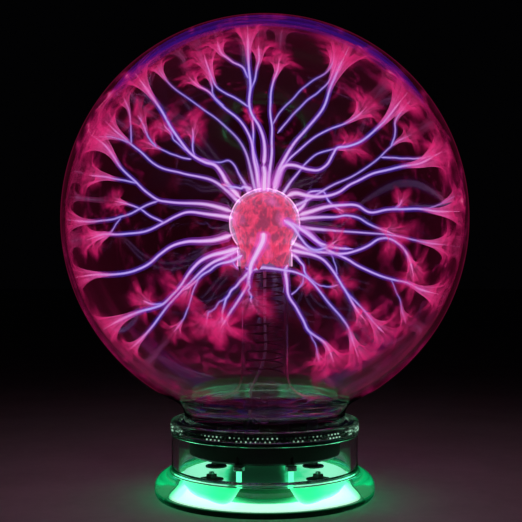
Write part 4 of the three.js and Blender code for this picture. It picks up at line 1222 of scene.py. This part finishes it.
def film_lit(tree):
    """The film's glow, torn by fine noise."""
    level = node(tree, "ShaderNodeAttribute", {"attribute_name": "glow"}).outputs["Fac"]
    place = node(tree, "ShaderNodeTexCoord").outputs["Object"]
    shreds = {"Scale": 70.0, "Detail": 4.0, "Roughness": 0.55, "Distortion": 1.4}
    shred = node(tree, "ShaderNodeTexNoise", shreds, Vector=place)
    tears = {"From Min": 0.34, "From Max": 0.66, "To Min": 0.08, "To Max": 1.35}
    torn = node(tree, "ShaderNodeMapRange", tears, Value=shred.outputs[0])
    return node(tree, "ShaderNodeMath", {"operation": "MULTIPLY"}, i0=level, i1=torn.outputs[0]).outputs[0]


def film_colour(tree):
    """Dark magenta where the film is weak, pale pink where it is strong."""
    stops = {"stops": [(0.0, "#8c0c50"), (0.3, "#b41560"), (0.65, "#e42872"), (1.0, "#ff6ea6")]}
    return node(tree, "ShaderNodeValToRGB", stops, Fac=film_lit(tree)).outputs["Color"]


def film_alpha(tree):
    """Clear below a faint glow, then denser as it grows."""
    veil = {"From Min": 0.07, "From Max": 1.0, "To Min": 0.0, "To Max": 0.76}
    return node(tree, "ShaderNodeMapRange", veil, Value=film_lit(tree)).outputs[0]


# Gas on the glass: ragged magenta wisps over dark gaps.
gas_glow = see_through_glow("magenta_gas_glow", film_colour, film_alpha)
film_points = (flat_film * billow[..., None] + film_centre) * MM
film = grid_piece("glow_film", film_points, gas_glow, attributes=[("glow", [glow])])
film.visible_shadow = False


def arc_profile(half_r, half_z, centre_z, low_angle, count):
    """Half ellipse from the top down to low_angle, in (radius, height)."""
    angle = np.linspace(math.pi / 2, low_angle, count)
    points = np.stack([half_r * np.cos(angle), centre_z + half_z * np.sin(angle)], -1)
    points[0, 0] = 0
    return points


# Gas pressed to the glass: faint seen straight on, a magenta line where the eye looks along the wall.
rim_gas = volume_glow("magenta_rim_gas", "#f01f70", 8.5)
RIM_T, RIM_GAP, RIM_LOW = 0.35, 0.4, -1.08
rim_outer = arc_profile(film_half[0] + RIM_GAP, film_half[2] + RIM_GAP, GLOBE_Z, RIM_LOW, 140)
rim_inner = arc_profile(film_half[0] + RIM_GAP - RIM_T, film_half[2] + RIM_GAP - RIM_T, GLOBE_Z, RIM_LOW, 140)
rim = grid_piece("rim_glow", turned(np.concatenate([rim_outer, rim_inner[::-1]]), 200), rim_gas)
rim.visible_shadow = False
# Discharge light caught in the globe's outer skin, painted as an emitting volume: the thin crimson edge of
# the glass.
edge_light = volume_glow("painted_magenta_edge_light", "#e0226c", 13.0)
HALO_OUT, HALO_IN, HALO_LOW = GLOBE_R + 0.24, GLOBE_R + 0.02, -1.0
halo_outer = arc_profile(HALO_OUT, HALO_OUT, GLOBE_Z, HALO_LOW, 140)
halo_inner = arc_profile(HALO_IN, HALO_IN, GLOBE_Z, HALO_LOW, 140)
halo = grid_piece("glass_edge_glow", turned(np.concatenate([halo_outer, halo_inner[::-1]]), 240), edge_light)
halo.visible_shadow = False
# Gas hugging the bulb: a pink-white outline that runs down the skirt.
bulb_gas = volume_glow("pink_white_sheath_gas", "#ffb4e8", 170.0)
HUG_OUT, HUG_IN, HUG_LOW, HUG_END_Z = BULB_R + 0.5, BULB_R + 0.04, -0.69, 114.2
hug_outer = arc_profile(HUG_OUT, HUG_OUT, BULB_Z, HUG_LOW, 80)
hug_inner = arc_profile(HUG_IN, HUG_IN, BULB_Z, HUG_LOW, 80)
hug_end = [(SKIRT_R + 0.55, HUG_END_Z), (SKIRT_R + 0.08, HUG_END_Z)]
hug = grid_piece("bulb_glow", turned(np.concatenate([hug_outer, hug_end, hug_inner[::-1]]), 96), bulb_gas)
hug.visible_shadow = False

# --------------------------------------------------------------------------------------------------
# Studio: a plain pale floor in low, soft light, so that the lamp's own light shows. A violet area light
# behind gives the crown of the globe its band, and a pink point light stands for the discharge.
# --------------------------------------------------------------------------------------------------
FLOOR_HALF, FLOOR_SIDE = 4.0, 9
floor_line = np.linspace(-FLOOR_HALF, FLOOR_HALF, FLOOR_SIDE)
floor_x, floor_y = np.meshgrid(floor_line, floor_line)
floor_points = np.stack([floor_x, floor_y, np.zeros_like(floor_x)], -1).reshape(-1, 3)
floor_row, floor_column = np.divmod(np.arange((FLOOR_SIDE - 1) ** 2), FLOOR_SIDE - 1)
near_left = floor_row * FLOOR_SIDE + floor_column
far_left = near_left + FLOOR_SIDE
floor_faces = np.stack([near_left, near_left + 1, far_left + 1, far_left], -1)
floor_mesh = bpy.data.meshes.new("studio_floor")
floor_mesh.from_pydata(floor_points.tolist(), [], floor_faces.tolist())
floor = bpy.data.objects.new("studio_floor", floor_mesh)
bpy.context.collection.objects.link(floor)
# Pale matt paint, very slightly uneven.
no_gloss = {"Specular IOR Level": 0.0}
pale_paint = speckled("pale_matt_floor", "#c9c7c4", "#d6d4d1", 6.0, (0.5, 0.65), 0.02, **no_gloss)
floor_mesh.materials.append(pale_paint)
floor.visible_glossy = False


def soft_light(name, place, target, size, power, colour):
    """A square area light at place, facing target."""
    data = bpy.data.lights.new(name, "AREA")
    data.shape = "SQUARE"
    data.size = size
    data.energy = power
    data.color = linear(colour)[:3]
    lamp_object = bpy.data.objects.new(name, data)
    bpy.context.collection.objects.link(lamp_object)
    aim = np.array(target, float) - np.array(place, float)
    lamp_object.location = place
    lamp_object.rotation_euler = Vector(aim.tolist()).to_track_quat("-Z", "Y").to_euler()
    lamp_object.visible_glossy = False
    lamp_object.visible_transmission = False
    return data


# A weak soft light from above the front, for the housing, the collar and the floor near the foot.
key = soft_light("soft_overhead", (0.0, -0.32, 0.62), (0, -0.1, 0), 0.45, 0.026, "#fff6ee")
key.spread = math.radians(60)
# A wide violet light above and behind. It lights no matt surface and isn't seen directly: the glass alone
# shows it, as the band on the globe's crown.
violet = soft_light("violet_crown_light", (0.0, 1.18, 1.06), (0, 0, 0.15), 0.5, 0.65, "#5a24e8")
violet.shape = "RECTANGLE"
violet.size, violet.size_y = 1.9, 0.45
violet_object = bpy.data.objects["violet_crown_light"]
violet_object.visible_glossy, violet_object.visible_transmission = True, True
violet_object.visible_diffuse, violet_object.visible_camera = False, False

# The discharge's own light on the base and the floor: soft pink, from the bulb's place.
inner_light = bpy.data.lights.new("discharge_light", "POINT")
inner_light.energy = 0.05
inner_light.color = linear("#ff4fa8")[:3]
inner_light.shadow_soft_size = 0.05
inner_object = bpy.data.objects.new("discharge_light", inner_light)
inner_object.location = (0, 0, 0.138)
inner_object.visible_camera = False
inner_object.visible_glossy = False
inner_object.visible_transmission = False
bpy.context.collection.objects.link(inner_object)

scene = bpy.context.scene
# The room: nearly black.
DARK_ROOM = (0.0006, 0.0006, 0.0008, 1)
world = bpy.data.worlds.new("dark_studio")
world.use_nodes = True
world.node_tree.nodes["Background"].inputs["Color"].default_value = DARK_ROOM
scene.world = world
scene.view_settings.view_transform = "Standard"
# Enough bounces for light to pass the nested glass walls and the many see-through layers of gas.
scene.cycles.max_bounces = 24
scene.cycles.transmission_bounces = 24
scene.cycles.glossy_bounces = 6
scene.cycles.diffuse_bounces = 3
scene.cycles.transparent_max_bounces = 96

# A level camera in front, a hair to the left of the axis.
camera_data = bpy.data.cameras.new("front_view")
camera_data.lens = 74.7
camera_data.sensor_width = 36.0
camera_data.clip_start = 0.01
camera = bpy.data.objects.new("front_view", camera_data)
camera.location = (-0.00185, -0.540, 0.1172)
camera.rotation_euler = (math.radians(90), 0, 0)
bpy.context.collection.objects.link(camera)
scene.camera = camera
